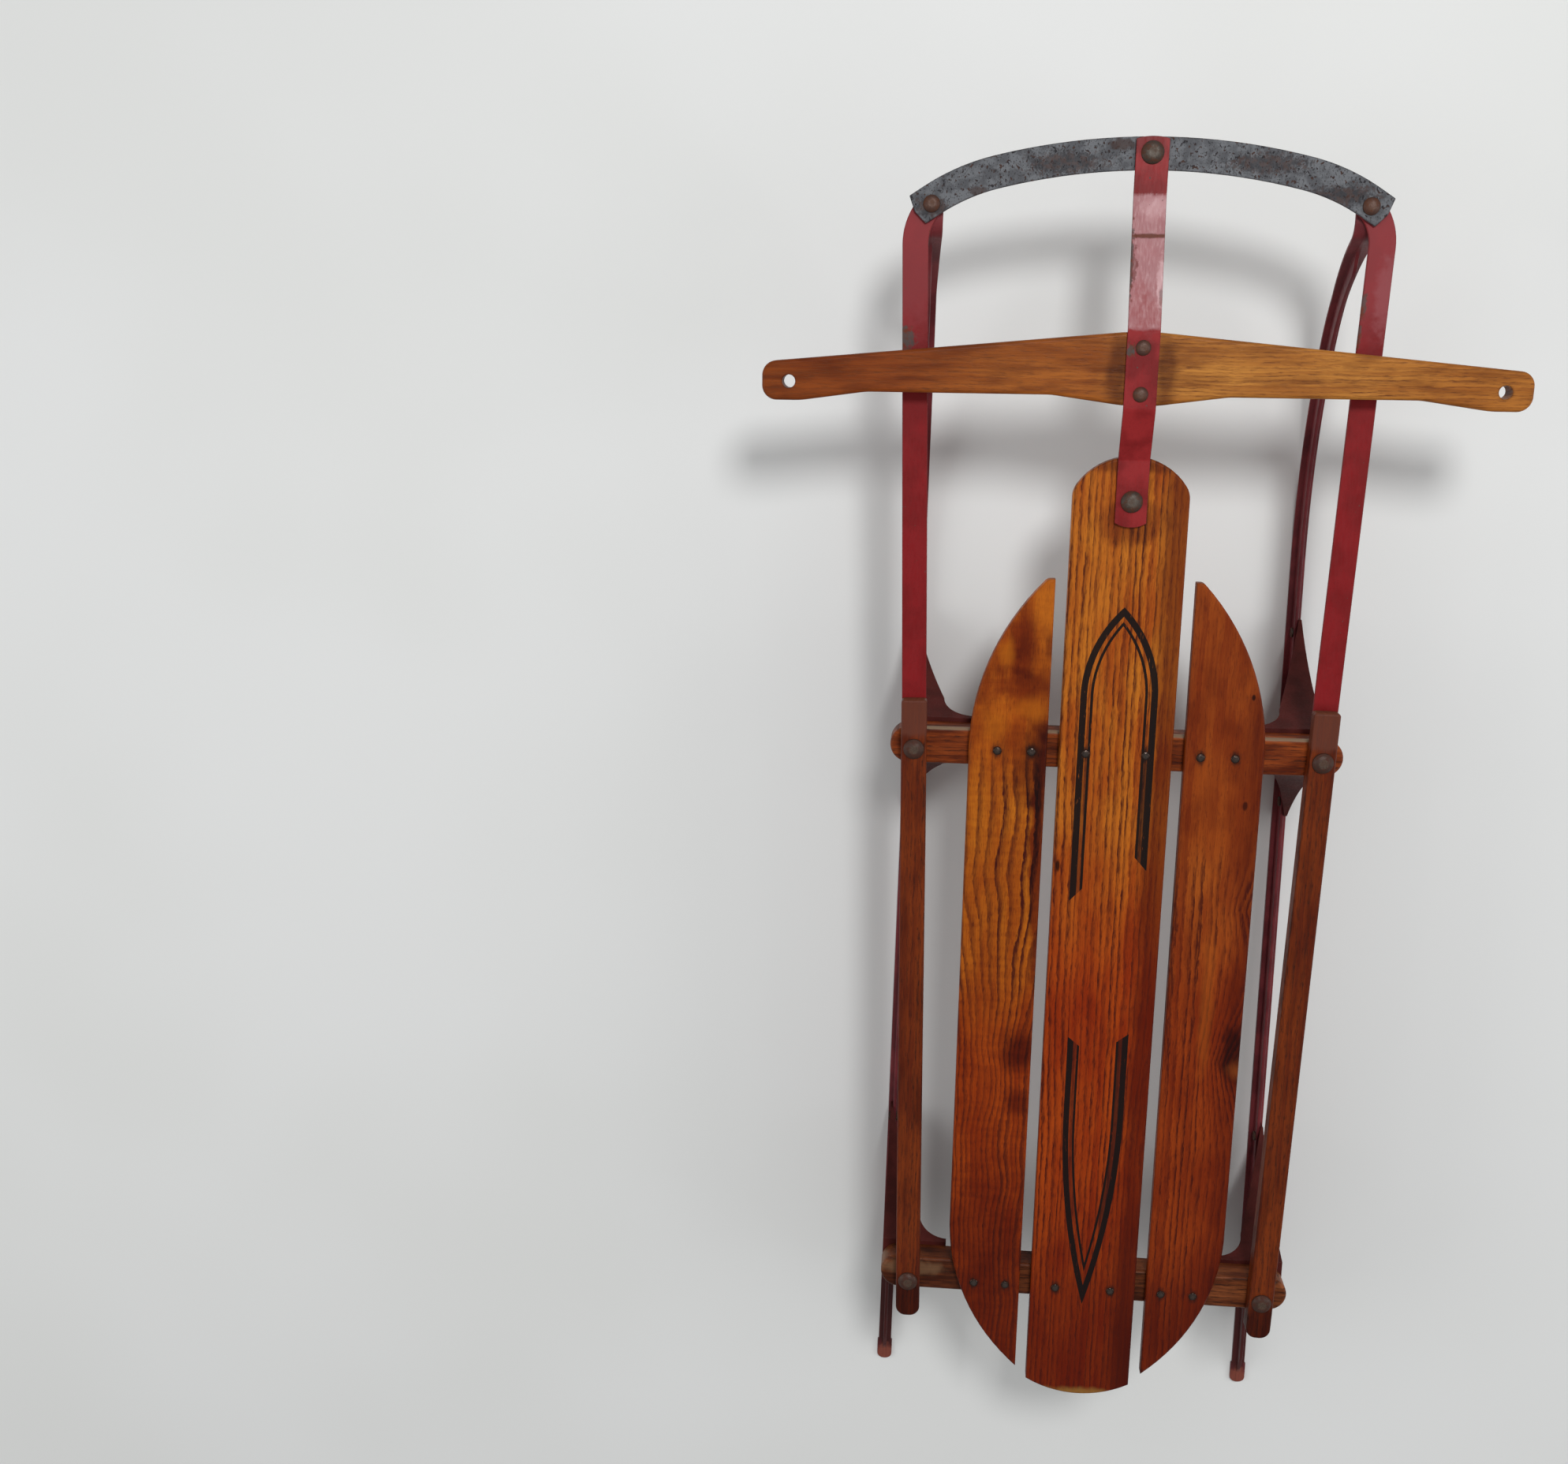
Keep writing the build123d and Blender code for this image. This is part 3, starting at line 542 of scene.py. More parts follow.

        # Corners are darkened, ends show open grain
        reach, depth = self.rim
        corner = add("MULTIPLY", coat.edge(reach), depth)
        colour = add("MixRGB", corner, colour, linear(Stain.CORNER))
        facing = add("SeparateXYZ", add("NewGeometry", out="True Normal"), out="X" if coat.crosswise else "Y")
        end = add(SOFT, add("ABSOLUTE", facing), 0.75, 0.97, 0.0, 0.4)
        colour = add("MixRGB", end, colour, linear(Stain.END_GRAIN))

        height = add("MULTIPLY_ADD", line, -0.4, add("MULTIPLY", pores, -0.5))
        bump = add("Bump", 0.3, 0.3 * MM, links={"Height": height})
        rough = add("MapRange", add("MULTIPLY_ADD", line, 0.6, patch), 0.2, 1.3, 0.36, 0.6)
        return coat.done(colour, {"Roughness": rough, "Normal": bump, "IOR": 1.5, "Specular IOR Level": self.gloss})


@dataclass(frozen=True)
class EnamelledSteel:
    """Mild steel strip, brush enamelled, with chips and rubs that show grey metal and rust.

    The enamel gives a soft even sheen, the bare places are duller and browner.
    """

    name: str
    seed: float
    paint: str
    second: str
    tones_and_glare: tuple[Spot, ...] = ()
    bare: tuple[Spot, ...] = ()
    rusty: tuple[Spot, ...] = ()
    metal: str = "#4A4542"
    rust: str = "#5E2F1C"
    rim_tone: str = "#2C0E0C"
    grime: str = "#6A6464"
    chips: float = 0.3
    corner: float = 0.7
    gloss: float = 0.40
    mottle: float = 26.0
    specks: float = 0.15
    shine: float = 0.2

    def material(self) -> Material:
        """Builds the enamel: drifting tone, fades and painted reflections laid as spots, chips along the corners and in
        given spots.

        Returns:
            The finished material.
        """
        coat = Coat(self.name, self.seed)
        add = coat.add
        tone = add(SOFT, coat.cloud((self.mottle,) * 3, 0.0, 5.0), 0.38, 0.62)
        colour = add("MixRGB", tone, linear(self.paint), linear(self.second))
        speck = add(SOFT, coat.cloud(*Noise.SPECK.value), 0.55, 0.68, 0.0, self.specks)
        colour = coat.covered(coat.tinted(colour, self.grime, speck), self.tones_and_glare, coat.cloud(*Noise.FLAKE.value))

        # Rubbed corners go dark, and chips start from them
        corner = coat.edge(1.2)
        colour = add("MixRGB", add("MULTIPLY", corner, 0.55), colour, linear(self.rim_tone))
        grit = coat.cloud(*Noise.GRIT.value)
        from_edge = add("MULTIPLY_ADD", corner, 0.2 * self.corner, grit)
        chipped = add(SOFT, from_edge, 0.74 - 0.1 * self.chips, 0.77 - 0.1 * self.chips)
        for spot in self.bare:
            chipped = add("MAXIMUM", chipped, coat.mark(spot, grit))
        blotch = coat.cloud(*Noise.BLOTCH.value)
        rusting = add(SOFT, blotch, 0.42, 0.62)
        for spot in self.rusty:
            share = coat.mark(spot, blotch)
            chipped = add("MAXIMUM", chipped, share)
            rusting = add("MAXIMUM", rusting, share)
        metal = add("MixRGB", rusting, linear(self.metal), linear(self.rust))
        colour = add("MixRGB", chipped, colour, metal)
        brushed = coat.cloud(*Noise.BRUSH.value)
        sheen = add("MapRange", brushed, 0.3, 0.7, self.gloss - 0.06, self.gloss + 0.12)
        roughness = add("MULTIPLY_ADD", chipped, 0.25, sheen, use_clamp=True)
        level = add("MULTIPLY_ADD", chipped, -0.8, add("MULTIPLY", grit, 0.25))
        bump = add("Bump", 0.35, 0.25 * MM, links={"Height": level})
        return coat.done(colour, {"Roughness": roughness, "Normal": bump, "IOR": 1.5, "Specular IOR Level": self.shine})


@dataclass(frozen=True)
class WeatheredIron:
    """Forged and zinc-washed iron that has gone brown, with a paler grey crown on each head painted as a highlight.

    Bare is how metallic it still is, and flat is how level a place must be to show the painted highlight on the crown.
    """

    name: str
    seed: float
    crown: str = "#6E6456"
    body: str = "#40342D"
    rust: str = "#4E2C1A"
    gloss: float = 0.5
    bare: float = 0.35
    flat: float = 1.02

    def material(self) -> Material:
        """Builds the iron: brown body, rust blooms and a painted highlight, paler grey on the crown where the head
        faces up.

        Returns:
            The finished material.
        """
        coat = Coat(self.name, self.seed)
        add = coat.add
        bloom = add(SOFT, coat.cloud(*Noise.BLOOM.value), 0.42, 0.64)
        colour = add("MixRGB", bloom, linear(self.body), linear(self.rust))
        pits = coat.cloud(*Noise.PIT.value)
        # Painted highlight: where the head faces up, its crown is laid in the paler crown tone
        up = add("SeparateXYZ", add("NewGeometry", out="Normal"), out="Z")
        ragged = add("MULTIPLY_ADD", pits, 0.12, up)
        rubbed_and_lit = add(SOFT, ragged, self.flat - 0.03, self.flat + 0.06, 0.0, 0.8)
        colour = add("MixRGB", rubbed_and_lit, colour, linear(self.crown))
        bump = add("Bump", 0.5, 0.3 * MM, links={"Height": pits})
        roughness = add("MapRange", bloom, 0.0, 1.0, self.gloss, self.gloss + 0.25)
        return coat.done(colour, {"Metallic": self.bare, "Roughness": roughness, "Normal": bump})


# Meshes


def new_piece(
        name: str, points: np.ndarray, faces: Sequence[Sequence[int]], body: str | None,
        material: Material) -> Object:
    """Makes a mesh piece at the origin, its faces turned outwards.

    Args:
        name: piece name.
        points: corners in metres, one row each.
        faces: corner numbers of each face.
        body: body that carries it, or None where it is blended later.
        material: its finish.

    Returns:
        The new object.
    """
    mesh = bpy.data.meshes.new(name)
    mesh.from_pydata(points.reshape(-1, 3).tolist(), [], [list(f) for f in faces])
    work = bmesh.new()
    work.from_mesh(mesh)
    bmesh.ops.remove_doubles(work, verts=work.verts, dist=WELD)
    bmesh.ops.recalc_face_normals(work, faces=work.faces)
    work.to_mesh(mesh)
    work.free()
    return settle(bpy.data.objects.new(name, mesh), body, material)


def settle(piece: Object, body: str | None, material: Material) -> Object:
    """Links a piece, smooths it between sharp corners and hands it to its body.

    Args:
        piece: the object.
        body: body that carries it, or None to leave it without one.
        material: its finish.

    Returns:
        The same object.
    """
    piece.data.materials.clear()
    piece.data.materials.append(material)
    piece.data.shade_smooth()
    piece.data.set_sharp_from_angle(angle=CREASE)
    bpy.context.scene.collection.objects.link(piece)
    if body:
        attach(piece, body)
    LOG.info("%s: %d faces", piece.name, len(piece.data.polygons))
    return piece


def grid_faces(rows: int, columns: int) -> np.ndarray:
    """Faces of a grid whose columns close on themselves, row by row.

    Args:
        rows: rings along the path.
        columns: points round each ring.

    Returns:
        Four corner numbers a face.
    """
    r, c = np.meshgrid(np.arange(rows - 1), np.arange(columns), indexing="ij")
    n = (c + 1) % columns
    return np.stack([r * columns + c, r * columns + n, (r + 1) * columns + n, (r + 1) * columns + c], -1).reshape(-1, 4)


def softened(node: str, name: str, width: float, body: str, material: Material) -> Object:
    """Copies a rigid node, merges it and rounds its sharp corners.

    Args:
        node: the node that it stands for.
        name: piece name.
        width: width of the rounded corner in millimetres.
        body: body that carries it.
        material: its finish.

    Returns:
        The new object.
    """
    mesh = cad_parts[node].data.copy()
    mesh.name = name
    work = bmesh.new()
    work.from_mesh(mesh)
    bmesh.ops.remove_doubles(work, verts=work.verts, dist=2 * WELD)
    bmesh.ops.dissolve_limit(work, angle_limit=FLAT, verts=work.verts, edges=work.edges)
    work.to_mesh(mesh)
    work.free()
    piece = settle(bpy.data.objects.new(name, mesh), body, material)
    bevel = piece.modifiers.new("Rounded corners", "BEVEL")
    bevel.width = width * MM
    bevel.segments = 2
    bevel.limit_method = "ANGLE"
    bevel.angle_limit = CREASE
    piece.modifiers.new("Even shading", "WEIGHTED_NORMAL").keep_sharp = True
    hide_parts(node)
    return piece


# Sub-assemblies


@dataclass
class Deck:
    """Three slats nailed over two bunks."""

    nail_rows: tuple[float, float] = (100.0, -377.0)
    center_nail: float = 23.5
    inner_nail: float = 66.5
    outer_nail: float = 93.5
    corner: float = 1.0
    nail: float = 1.6
    nail_long: float = 26.0
    nail_head: float = 3.4
    nail_head_deep: float = 0.9
    nail_crown: float = 0.9
    nail_steps: int = 20
    crown_steps: int = 7
    upper_stripe: PointedStripe = PointedStripe(218.7, 147.0, 30.2, 5.2, 2.2, 9.0, -24.0, 4.0, 1.1, (-60.0, 118.0), 0.6)
    lower_stripe: PointedStripe = PointedStripe(
        -391.0, -213.0, 24.8, 4.8, 1.9, 8.8, -143.0, -138.0, 0.8, (-330.0, -110.0), 0.55)

    def nails_at(self, *xs: float) -> tuple[tuple[float, float], ...]:
        """Nail places of a slat on both bunks."""
        return tuple((x, y) for x in xs for y in self.nail_rows)

    def nail_shape(self) -> np.ndarray:
        """Radius and height from the point up: shank, step of the head, then a quarter of an ellipse.

        Returns:
            One row of radius and height a ring.
        """
        swell = np.linspace(0.0, np.pi / 2, self.crown_steps)
        crown = np.stack([self.nail_head * np.cos(swell), DECK_TOP + self.nail_crown * np.sin(swell)], -1)
        under, point = DECK_TOP - self.nail_head_deep, DECK_TOP - self.nail_long
        foot = [[0.0, point], [self.nail, point], [self.nail, under]]
        return np.concatenate([foot, [[self.nail_head, under]], crown])

    def finishes(self) -> dict[str, VarnishedAsh]:
        """The finish of each slat: straight lines in the middle, wavy ones left, fine ones right.

        Returns:
            A finish for each slat's name.
        """
        # On each slat the washes toward the tail darken it, partly the wood's own tone and partly painted shade where
        # the light falls off
        center = VarnishedAsh(
            "Varnished ash, straight grain", 3.0, pith_across=-190.0, ring=5.4, ring_close=4.6, sway=3.5,
            sway_long=380.0, unbroken=0.65, light="#BA6C1C", body="#9A460E", dark="#3E0C04",
            nails=self.nails_at(-self.center_nail, self.center_nail), stripes=(self.upper_stripe, self.lower_stripe),
            washes=(Wash(20.0, 34.0, "#A88C7A", 0.9, 0.4, 7.0, Axis.X), Wash(120.0, -120.0, "#DA9478", 0.95),
                    Wash(-250.0, -430.0, "#B49888", 0.9, 0.15, 30.0)),
            spots=(Spot(-41, 6, 2, 5, "#301810", 0.9), Spot(0, 330, 40, 8, "#907068", 0.7),
                   Spot(0, 285, 26, 16, "#9A7264", 0.7)),
            worn=(Spot(-6, -480, 40, 5.5, "#8E6630", 0.75, 1.1, 1.8),))
        left = VarnishedAsh(
            "Varnished ash, wavy grain", 11.0, middle=-84.0, pith_across=-210.0, ring=9.0, ring_close=4.4,
            close=(20.0, -230.0), sway=7.0, sway_long=64.0, waver=0.3, uneven=1.5, unbroken=1.0, climb=0.02,
            light="#B66614", body="#98480C", dark="#3E0E06", ring_depth=1.0, figure=0.5, ripple=0.2,
            nails=self.nails_at(-self.inner_nail, -self.outer_nail),
            washes=(Wash(70.0, 120.0, "#F0D0B8", 0.5, 0.88, 16.0), Wash(-20.0, -180.0, "#D08C74", 0.9, 0.25, 16.0),
                    Wash(-290.0, -430.0, "#B08C84", 0.9)),
            spots=(Spot(-76, 187, 10, 26, "#A0685E", 0.8, 1.0, 1.6), Spot(-56, 185, 3, 10, "#8A5850", 0.6, 1.0, 1.0),
                   Spot(-84, 152, 34, 12, "#A67468", 0.75, 1.3, 2.4), Spot(-62, 90, 14, 34, "#8A5A50", 0.8, 1.0, 1.8),
                   Spot(-66, 101, 5, 6, "#503028", 0.8, 1.2, 1.4), Spot(-64, -158, 16, 17, "#8A5A50", 0.8, 1.2, 1.0),
                   Spot(-62, -205, 10, 12, "#9A6A60", 0.7, 1.2, 1.0), Spot(-52, 20, 12, 110, "#98604E", 0.9, 0.4, 0.8),
                   Spot(-88, -330, 40, 60, "#B08074", 0.6, 1.2, 1.4)),
            worn=(Spot(-89, 180, 5, 9, "#AE600E", 0.5, 1.4, 1.8), Spot(-68, 136, 11, 8, "#AE5E0E", 0.45, 1.4, 2.2),
                  Spot(-96, 122, 8, 11, "#A85C0E", 0.4, 1.4, 2.2), Spot(-60, 214, 9, 18, "#A85E14", 0.35, 1.4, 1.8)))
        # Its curly figure paints the faint sheen on the slat's upper part
        right = VarnishedAsh(
            "Varnished ash, fine grain", 23.0, middle=84.0, pith_across=150.0, pith_below=26.0, ring=6.0,
            ring_close=5.2, sway=5.0, sway_long=240.0, unbroken=0.6, light="#A05016", body="#80350D",
            dark="#3E0C04", figure=0.3, nails=self.nails_at(self.inner_nail, self.outer_nail),
            knots=(Knot(120, -160, 24, 52, 30.0, 0.3, 0.2), Knot(124, -26, 20, 30, 14.0, 0.1, 0.2)),
            washes=(Wash(-20.0, 45.0, "#E0CCC0", 0.9, 0.85, 22.0), Wash(20.0, -140.0, "#DC9C74", 0.75),
                    Wash(96.0, 112.0, "#B08678", 0.7, 0.2, 8.0, Axis.X), Wash(-290.0, -430.0, "#B49088", 0.9)),
            spots=(Spot(104, 150, 1.5, 2.5, "#402018", 0.9), Spot(104, 62, 2, 4, "#603028", 0.8),
                   Spot(113, -152, 13, 27, "#7A4A40", 0.85, 0.8, 1.4)),
            worn=(Spot(86, -105, 5, 56, "#9C4E14", 0.4, 1.4, 1.6), Spot(115, -166, 7, 7, "#8A4214", 0.6, 1.4, 1.6)))
        return {"center": center, "left": left, "right": right}

    def build(self) -> None:
        """Softens the slats and sets the nail heads."""
        for name, finish in self.finishes().items():
            softened(f"deck_slat_{name}", f"slat_{name}", self.corner, "frame", finish.material())
        iron = WeatheredIron(
            "Iron, forged nails", 5.0, crown="#5A504A", body="#3A302C", rust="#34221A", gloss=0.2, bare=0.85).material()
        shape = self.nail_shape()
        around = np.linspace(0.0, 2 * np.pi, self.nail_steps, endpoint=False)
        turned = np.stack([
            shape[:, :1] * np.cos(around), shape[:, :1] * np.sin(around), np.repeat(shape[:, 1:], len(around), 1)], -1)
        faces = grid_faces(len(shape), len(around))
        xs = np.array([s * x for x in (self.center_nail, self.inner_nail, self.outer_nail) for s in (-1, 1)])
        for end, y in zip(("front", "rear"), self.nail_rows):
            places = np.stack([xs, np.full_like(xs, y), np.zeros_like(xs)], -1)
            points = places[:, None, None] + turned
            every = (faces + turned[..., 0].size * np.arange(len(xs))[:, None, None]).reshape(-1, 4)
            piece = new_piece(f"nails_{end}", points * MM, every, "frame", iron)
            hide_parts(f"deck_nails_{end}")


@dataclass
class Underframe:
    """Two bunks, two side rails and four pressed knees."""

    board_corner: float = 1.5
    knee_corner: float = 1.0
    rail_middle: float = 155.0
    front_arris: float = 114.8

    def build(self) -> None:
        """Softens the boards and the knees and gives them their finishes."""
        for end, seed, light, body in (("front", 31.0, "#A4501F", "#7E3614"), ("rear", 37.0, "#8A4C28", "#5E2E18")):
            finish = VarnishedAsh(
                f"Varnished ash, {end} bunk", seed, Grain.CROSSWISE, pith_across=260.0, ring=4.4, ring_close=4.4,
                sway=4.0, waver=1.0, light=light, body=body, dark="#26100A", ring_depth=0.75, mottle=0.8,
                washes=(Wash(60.0, -80.0, "#DCD4D0", axis=Axis.X),),
                worn=(Spot(0, self.front_arris, 400, 1.5, "#86705A", 0.9, 0.5, 0.6, 149.5),
                      Spot(-150, -372, 26, 7, "#7A5A40", 0.7)))
            softened(f"bunk_{end}", f"{end}_bunk", self.board_corner, "frame", finish.material())
        for name, s in SIDES:
            finish = VarnishedAsh(
                f"Varnished ash, {name} rail", 41.0 + s, middle=s * self.rail_middle, pith_across=s * 320.0,
                sway=4.0, sway_long=300.0, light="#74300D", body="#571E0A", dark="#26100A", ring_depth=0.45,
                mottle=0.4, waver=1.0, spots=(Spot(s * 150, -400, 14, 26, "#906A62", 0.8),),
                worn=(Spot(s * 161, 130, 30, 20, "#5E3428", 0.75, 0.3, 0.5),))
            softened(f"side_rail_{name}", f"rail_{name}", self.board_corner, "frame", finish.material())
        press = EnamelledSteel(
            "Mild steel, pressed and enamelled", 51.0, "#4E1C18", "#431612", chips=0.1, corner=0.5, metal="#5B3A36",
            rim_tone="#4E2C28", mottle=16.0, gloss=0.62, shine=0.14).material()
        for end in ("front", "rear"):
            for name, _ in SIDES:
                softened(
                    f"knee_{end}_{name}", f"pressed_knee_{end}_{name}", self.knee_corner, "frame", press)


@dataclass
class Steering:
    """Cross bar, center strap, side straps and the bumper that ties them."""

    bar_middle: float = 396.0
    bar_corner: float = 1.5
    strap_corner: float = 0.7
    bumper_corner: float = 0.8

    def build(self) -> None:
        """Softens each piece and gives it its finish."""
        bar = VarnishedAsh(
            "Varnished ash, steering bar", 61.0, Grain.CROSSWISE, middle=self.bar_middle, pith_across=560.0,
            ring=3.0, ring_close=3.0, sway=7.0, waver=1.3, light="#B87A34", body="#985C24", dark="#5A2E14",
            ring_depth=0.5, mottle=0.5, rim=(2.6, 0.8),
            washes=(Wash(10.0, -40.0, "#D0A890", 0.8, 0.3, 10.0, Axis.X),
                    Wash(-90.0, -190.0, "#C8A090", 0.8, axis=Axis.X), Wash(150.0, 260.0, "#E8D8C8", 0.8, axis=Axis.X)),
            # Painted shade: these two spots darken the bar on both sides of the center strap
            spots=(Spot(19, 397, 7, 26, "#84604E", 0.7, 1.2, 1.2), Spot(-18, 397, 8, 26, "#84604E", 0.7, 1.2, 1.2)))
        softened("steering_bar", "cross_bar", self.bar_corner, "steering", bar.material())
        strap = EnamelledSteel(
            "Mild steel strap, red enamel", 71.0, "#8A2022", "#701214",
            # Painted reflection: the large pale spot over the sloped stretch, the pale spot at its top and the thin
            # pale spot on its right edge; the dark spot on the left edge is partly a dark border and partly painted
            # shade on the strap's side
            tones_and_glare=(Spot(0, 477, 70, 48.5, "#9C686B", 0.85, 0.05, 0.1), Spot(5, 440, 8, 12, "#8A3A3C", 0.6, 1.0, 3.0),
                   Spot(-6, 447, 5, 16, "#8A3A3C", 0.5, 1.0, 3.0), Spot(10.5, 461, 2.8, 18, "#C8A2A4", 0.6, 0.8, 2.4),
                   Spot(4, 516, 9, 8, "#C49C9E", 0.45, 1.2, 1.8), Spot(-12, 477, 4.2, 15, "#6A2A28", 0.85, 0.3, 3.4)),
            # The bare line on the left edge is partly a dark border and partly painted shade on the strap's side
            bare=(Spot(-12, 476, 1.8, 24, depth=0.8, fray=3.0), Spot(-9, 414, 3, 5, fray=2.2),
                  Spot(11, 452, 1.2, 7, depth=0.5, fray=2.4)),
            rusty=(Spot(0, 496, 17, 1.6, depth=0.9, rim=0.8, fray=1.2),))
        softened("center_strap", "center_strap_red", self.strap_corner, "steering", strap.material())
        for name, s in SIDES:
            side = EnamelledSteel(
                f"Mild steel side strap {name}, red enamel", 75.0 + s, "#7C1216", "#700E11",
                # The pale spots near the bumper are partly faded enamel and partly a painted reflection of the light
                tones_and_glare=(Spot(s * 172, 480, 28, 52, "#86383C", 0.5, 0.9, 0.8),
                       Spot(178, 455, 8, 26, "#8F5458", 0.4, 1.0, 1.8)),
                bare=(Spot(-177, 420, 7, 9, depth=0.9, fray=2.0), Spot(161.5, 448, 2.4, 9, depth=0.8, fray=2.2),
                      Spot(160, 426, 1.8, 9, depth=0.8, fray=2.2)))
            softened(
                f"side_strap_{name}", f"strap_{name}", self.strap_corner, f"nose_{name}", side.material())
        guard = EnamelledSteel(
            "Mild steel bumper, worn slate enamel", 81.0, "#636569", "#4A4B4F", metal="#29272A", rust="#43302A",
            rim_tone="#1A1819", chips=1.5, corner=1.6, gloss=0.5, mottle=9.0, specks=0.7,
            bare=(Spot(-62, 548, 26, 7, depth=0.7, fray=3.4), Spot(84, 548, 26, 6, depth=0.7, fray=3.4),
                  Spot(138, 526, 24, 6, depth=0.7, fray=3.4), Spot(-160, 516, 12, 6, depth=0.7, fray=2.8)),
            rusty=(Spot(-22, 561, 9, 4, depth=0.75, fray=1.8), Spot(-126, 528, 7, 3, depth=0.7, fray=1.8)))
        softened("bumper", "bumper_arc", self.bumper_corner, "bumper_bar", guard.material())


@dataclass
class Fasteners:
    """Bolts and rivets, domed and brown."""

    corner: float = 0.4

    def build(self) -> None:
        """Softens each set in weathered iron."""
        iron = WeatheredIron("Iron, domed bolts", 91.0, crown="#564D44", body="#3E322A").material()
        sunk = WeatheredIron(
            "Iron, rusted bolts", 93.0, crown="#584C3E", body="#3C2318", rust="#462214", flat=1.045).material()
        red = WeatheredIron(
            "Iron, rusted rivets", 97.0, crown="#5C4438", body="#4A3026", rust="#54301E", flat=1.03).material()
        rows = [("bunk_bolts", "frame", sunk), ("pivot_bolt", "frame", iron), ("steering_bar_bolts", "steering", red),
                ("bumper_bolt", "steering", iron)]
        for name, _ in SIDES:
            rows += [(f"knee_rivets_{name}", "frame", iron), (f"bumper_rivet_{name}", f"nose_{name}", red)]
        for node, body, finish in rows:
            softened(node, f"{node}_iron", self.corner, body, finish)


@dataclass
class Runners:
    """Two T-section bars, flat on the snow, swept up to the bumper."""

    tail: tuple[float, float] = (172.0, -566.5)
    rivet: tuple[float, float] = (160.0, 518.5)
    flange: float = 3.0
    half: float = 6.0
    foot: float = 7.0
    foot_long: float = 20.0
    foot_corner: float = 5.0
    tab: float = 9.0
    tab_long: float = 20.0
    tab_corner: float = 6.0
    tab_widens: tuple[float, float] = (110.0, 30.0)
    corner: float = 0.7
    corner_steps: int = 3
    corner_share: float = 0.45
    end_steps: int = 6
    web: float = 1.5
    web_high: float = 12.0
    web_gap: float = 14.0
    web_start: float = 0.33
    web_rise: float = 20.0
    web_none: float = 0.02
    web_ends: tuple[float, float] = (34.0, 22.0)
    step: float = 0.1
    under: float = 152.0
    sweep: tuple[float, float] = (360.0, 32.0)
    sweep_top: float = 180.0
    bend: float = 12.0
    stations: tuple[int, ...] = (60, 28, 18, 10, 12)
    bend_from: float = 194.0
    bend_to: float = 300.0

    def line(self) -> tuple[np.ndarray, np.ndarray, np.ndarray]:
        """Underside line: heading is a ramp of length on each arc, and its sine and cosine are summed.

        Returns:
            Length along the bar, points across the flat drawing (run, height), and heading, all as arrays.
        """
        r1, a1 = self.sweep[0], math.radians(self.sweep[1])
        r2, r3 = self.sweep_top, self.bend
        a2 = math.acos((r1 + (r2 - r1) * math.cos(a1) + r3 - self.under) / (r2 + r3))
        rise = (r1 - r2) * math.sin(a1) + (r2 + r3) * math.sin(a2) + self.tab_long / 2
        flat = math.dist(self.tail, self.rivet) - rise
        lengths = [flat, r1 * a1, r2 * (a2 - a1), r3 * a2, self.tab_long]
        knots = np.concatenate([[0.0], np.cumsum(lengths)])
        headings = np.array([0.0, 0.0, a1, a2, 0.0, 0.0])
        s = np.concatenate([np.linspace(a, b, n, endpoint=False) for a, b, n in zip(knots, knots[1:], self.stations)])
        round_end = 1 - np.cos(np.linspace(0.0, np.pi / 2, self.end_steps))
        web_begins = self.web_gap + np.array([-self.step, self.step, self.web_rise / 2, self.web_rise])
        s = np.unique(np.concatenate([
            s, knots[-1] - self.tab_corner * round_end, self.foot_corner * round_end, web_begins,
            self.foot_long + np.array([0.0, 1.0])]))
        heading = np.interp(s, knots, headings)
        turn = np.diff(heading)
        chord = np.diff(s) * np.sinc(turn / 2 / np.pi)
        mid = (heading[1:] + heading[:-1]) / 2
        run = np.concatenate([[0.0], np.cumsum(chord * np.cos(mid))])
        high = np.concatenate([[0.0], np.cumsum(chord * np.sin(mid))])
        return s, np.stack([run, high], -1), heading

    def section(self, s: np.ndarray, high: np.ndarray) -> np.ndarray:
        """Eight corners of the T at each station: widths and web height are ramps of length and height.

        Both ends are rounded in plan by taking off a radius less the height of its circle.

        Args:
            s: length along the bar.
            high: height of the underside there.

        Returns:
            Corners as (station, corner, across and up).
        """
        wide = np.interp(
            s, [0, self.foot_long, self.foot_long + 1, *(s[-1] - away for away in self.tab_widens)],
            [self.foot, self.foot, self.half, self.half, self.tab])
        for radius, away in ((self.foot_corner, s), (self.tab_corner, s[-1] - s)):
            left = np.clip(radius - away, 0.0, radius)
            wide = wide - (radius - np.sqrt(radius ** 2 - left ** 2))
        web = self.web_high * np.interp(
            s, self.web_gap + np.array([-self.step, self.step, self.web_rise]), [self.web_none, self.web_start, 1.0])
        web = web * np.interp(high, [self.under - drop for drop in self.web_ends], [1.0, self.web_none])
        t, w, zero = np.full_like(s, self.flange), np.full_like(s, self.web), np.zeros_like(s)
        across = [-wide, wide, wide, w, w, -w, -w, -wide]
        up = [zero, zero, t, t, t + web, t + web, t, t]
        return np.stack([np.stack(across, -1), np.stack(up, -1)], -1)

    def rounded(self, corners: np.ndarray) -> np.ndarray:
        """Square corners made quarter circles: centre less the radius times cosine and sine of the turn.

        Args:
            corners: corners as (station, corner, across and up).

        Returns:
            Points as (station, point, across and up).
        """
        before, after = (np.roll(corners, way, axis=1) - corners for way in (1, -1))
        long_before, long_after = (np.linalg.norm(side, axis=-1, keepdims=True) for side in (before, after))
        r = np.minimum(self.corner, self.corner_share * np.minimum(long_before, long_after))
        p, n = before / long_before, after / long_after
        turn = np.linspace(np.pi / 2, 0, self.corner_steps)[None, None, :, None]
        centre = (corners + r * (p + n))[:, :, None, :]
        arc = centre - r[:, :, None, :] * (p[:, :, None, :] * np.cos(turn) + n[:, :, None, :] * np.sin(turn))
        return arc.reshape(len(corners), -1, 2)

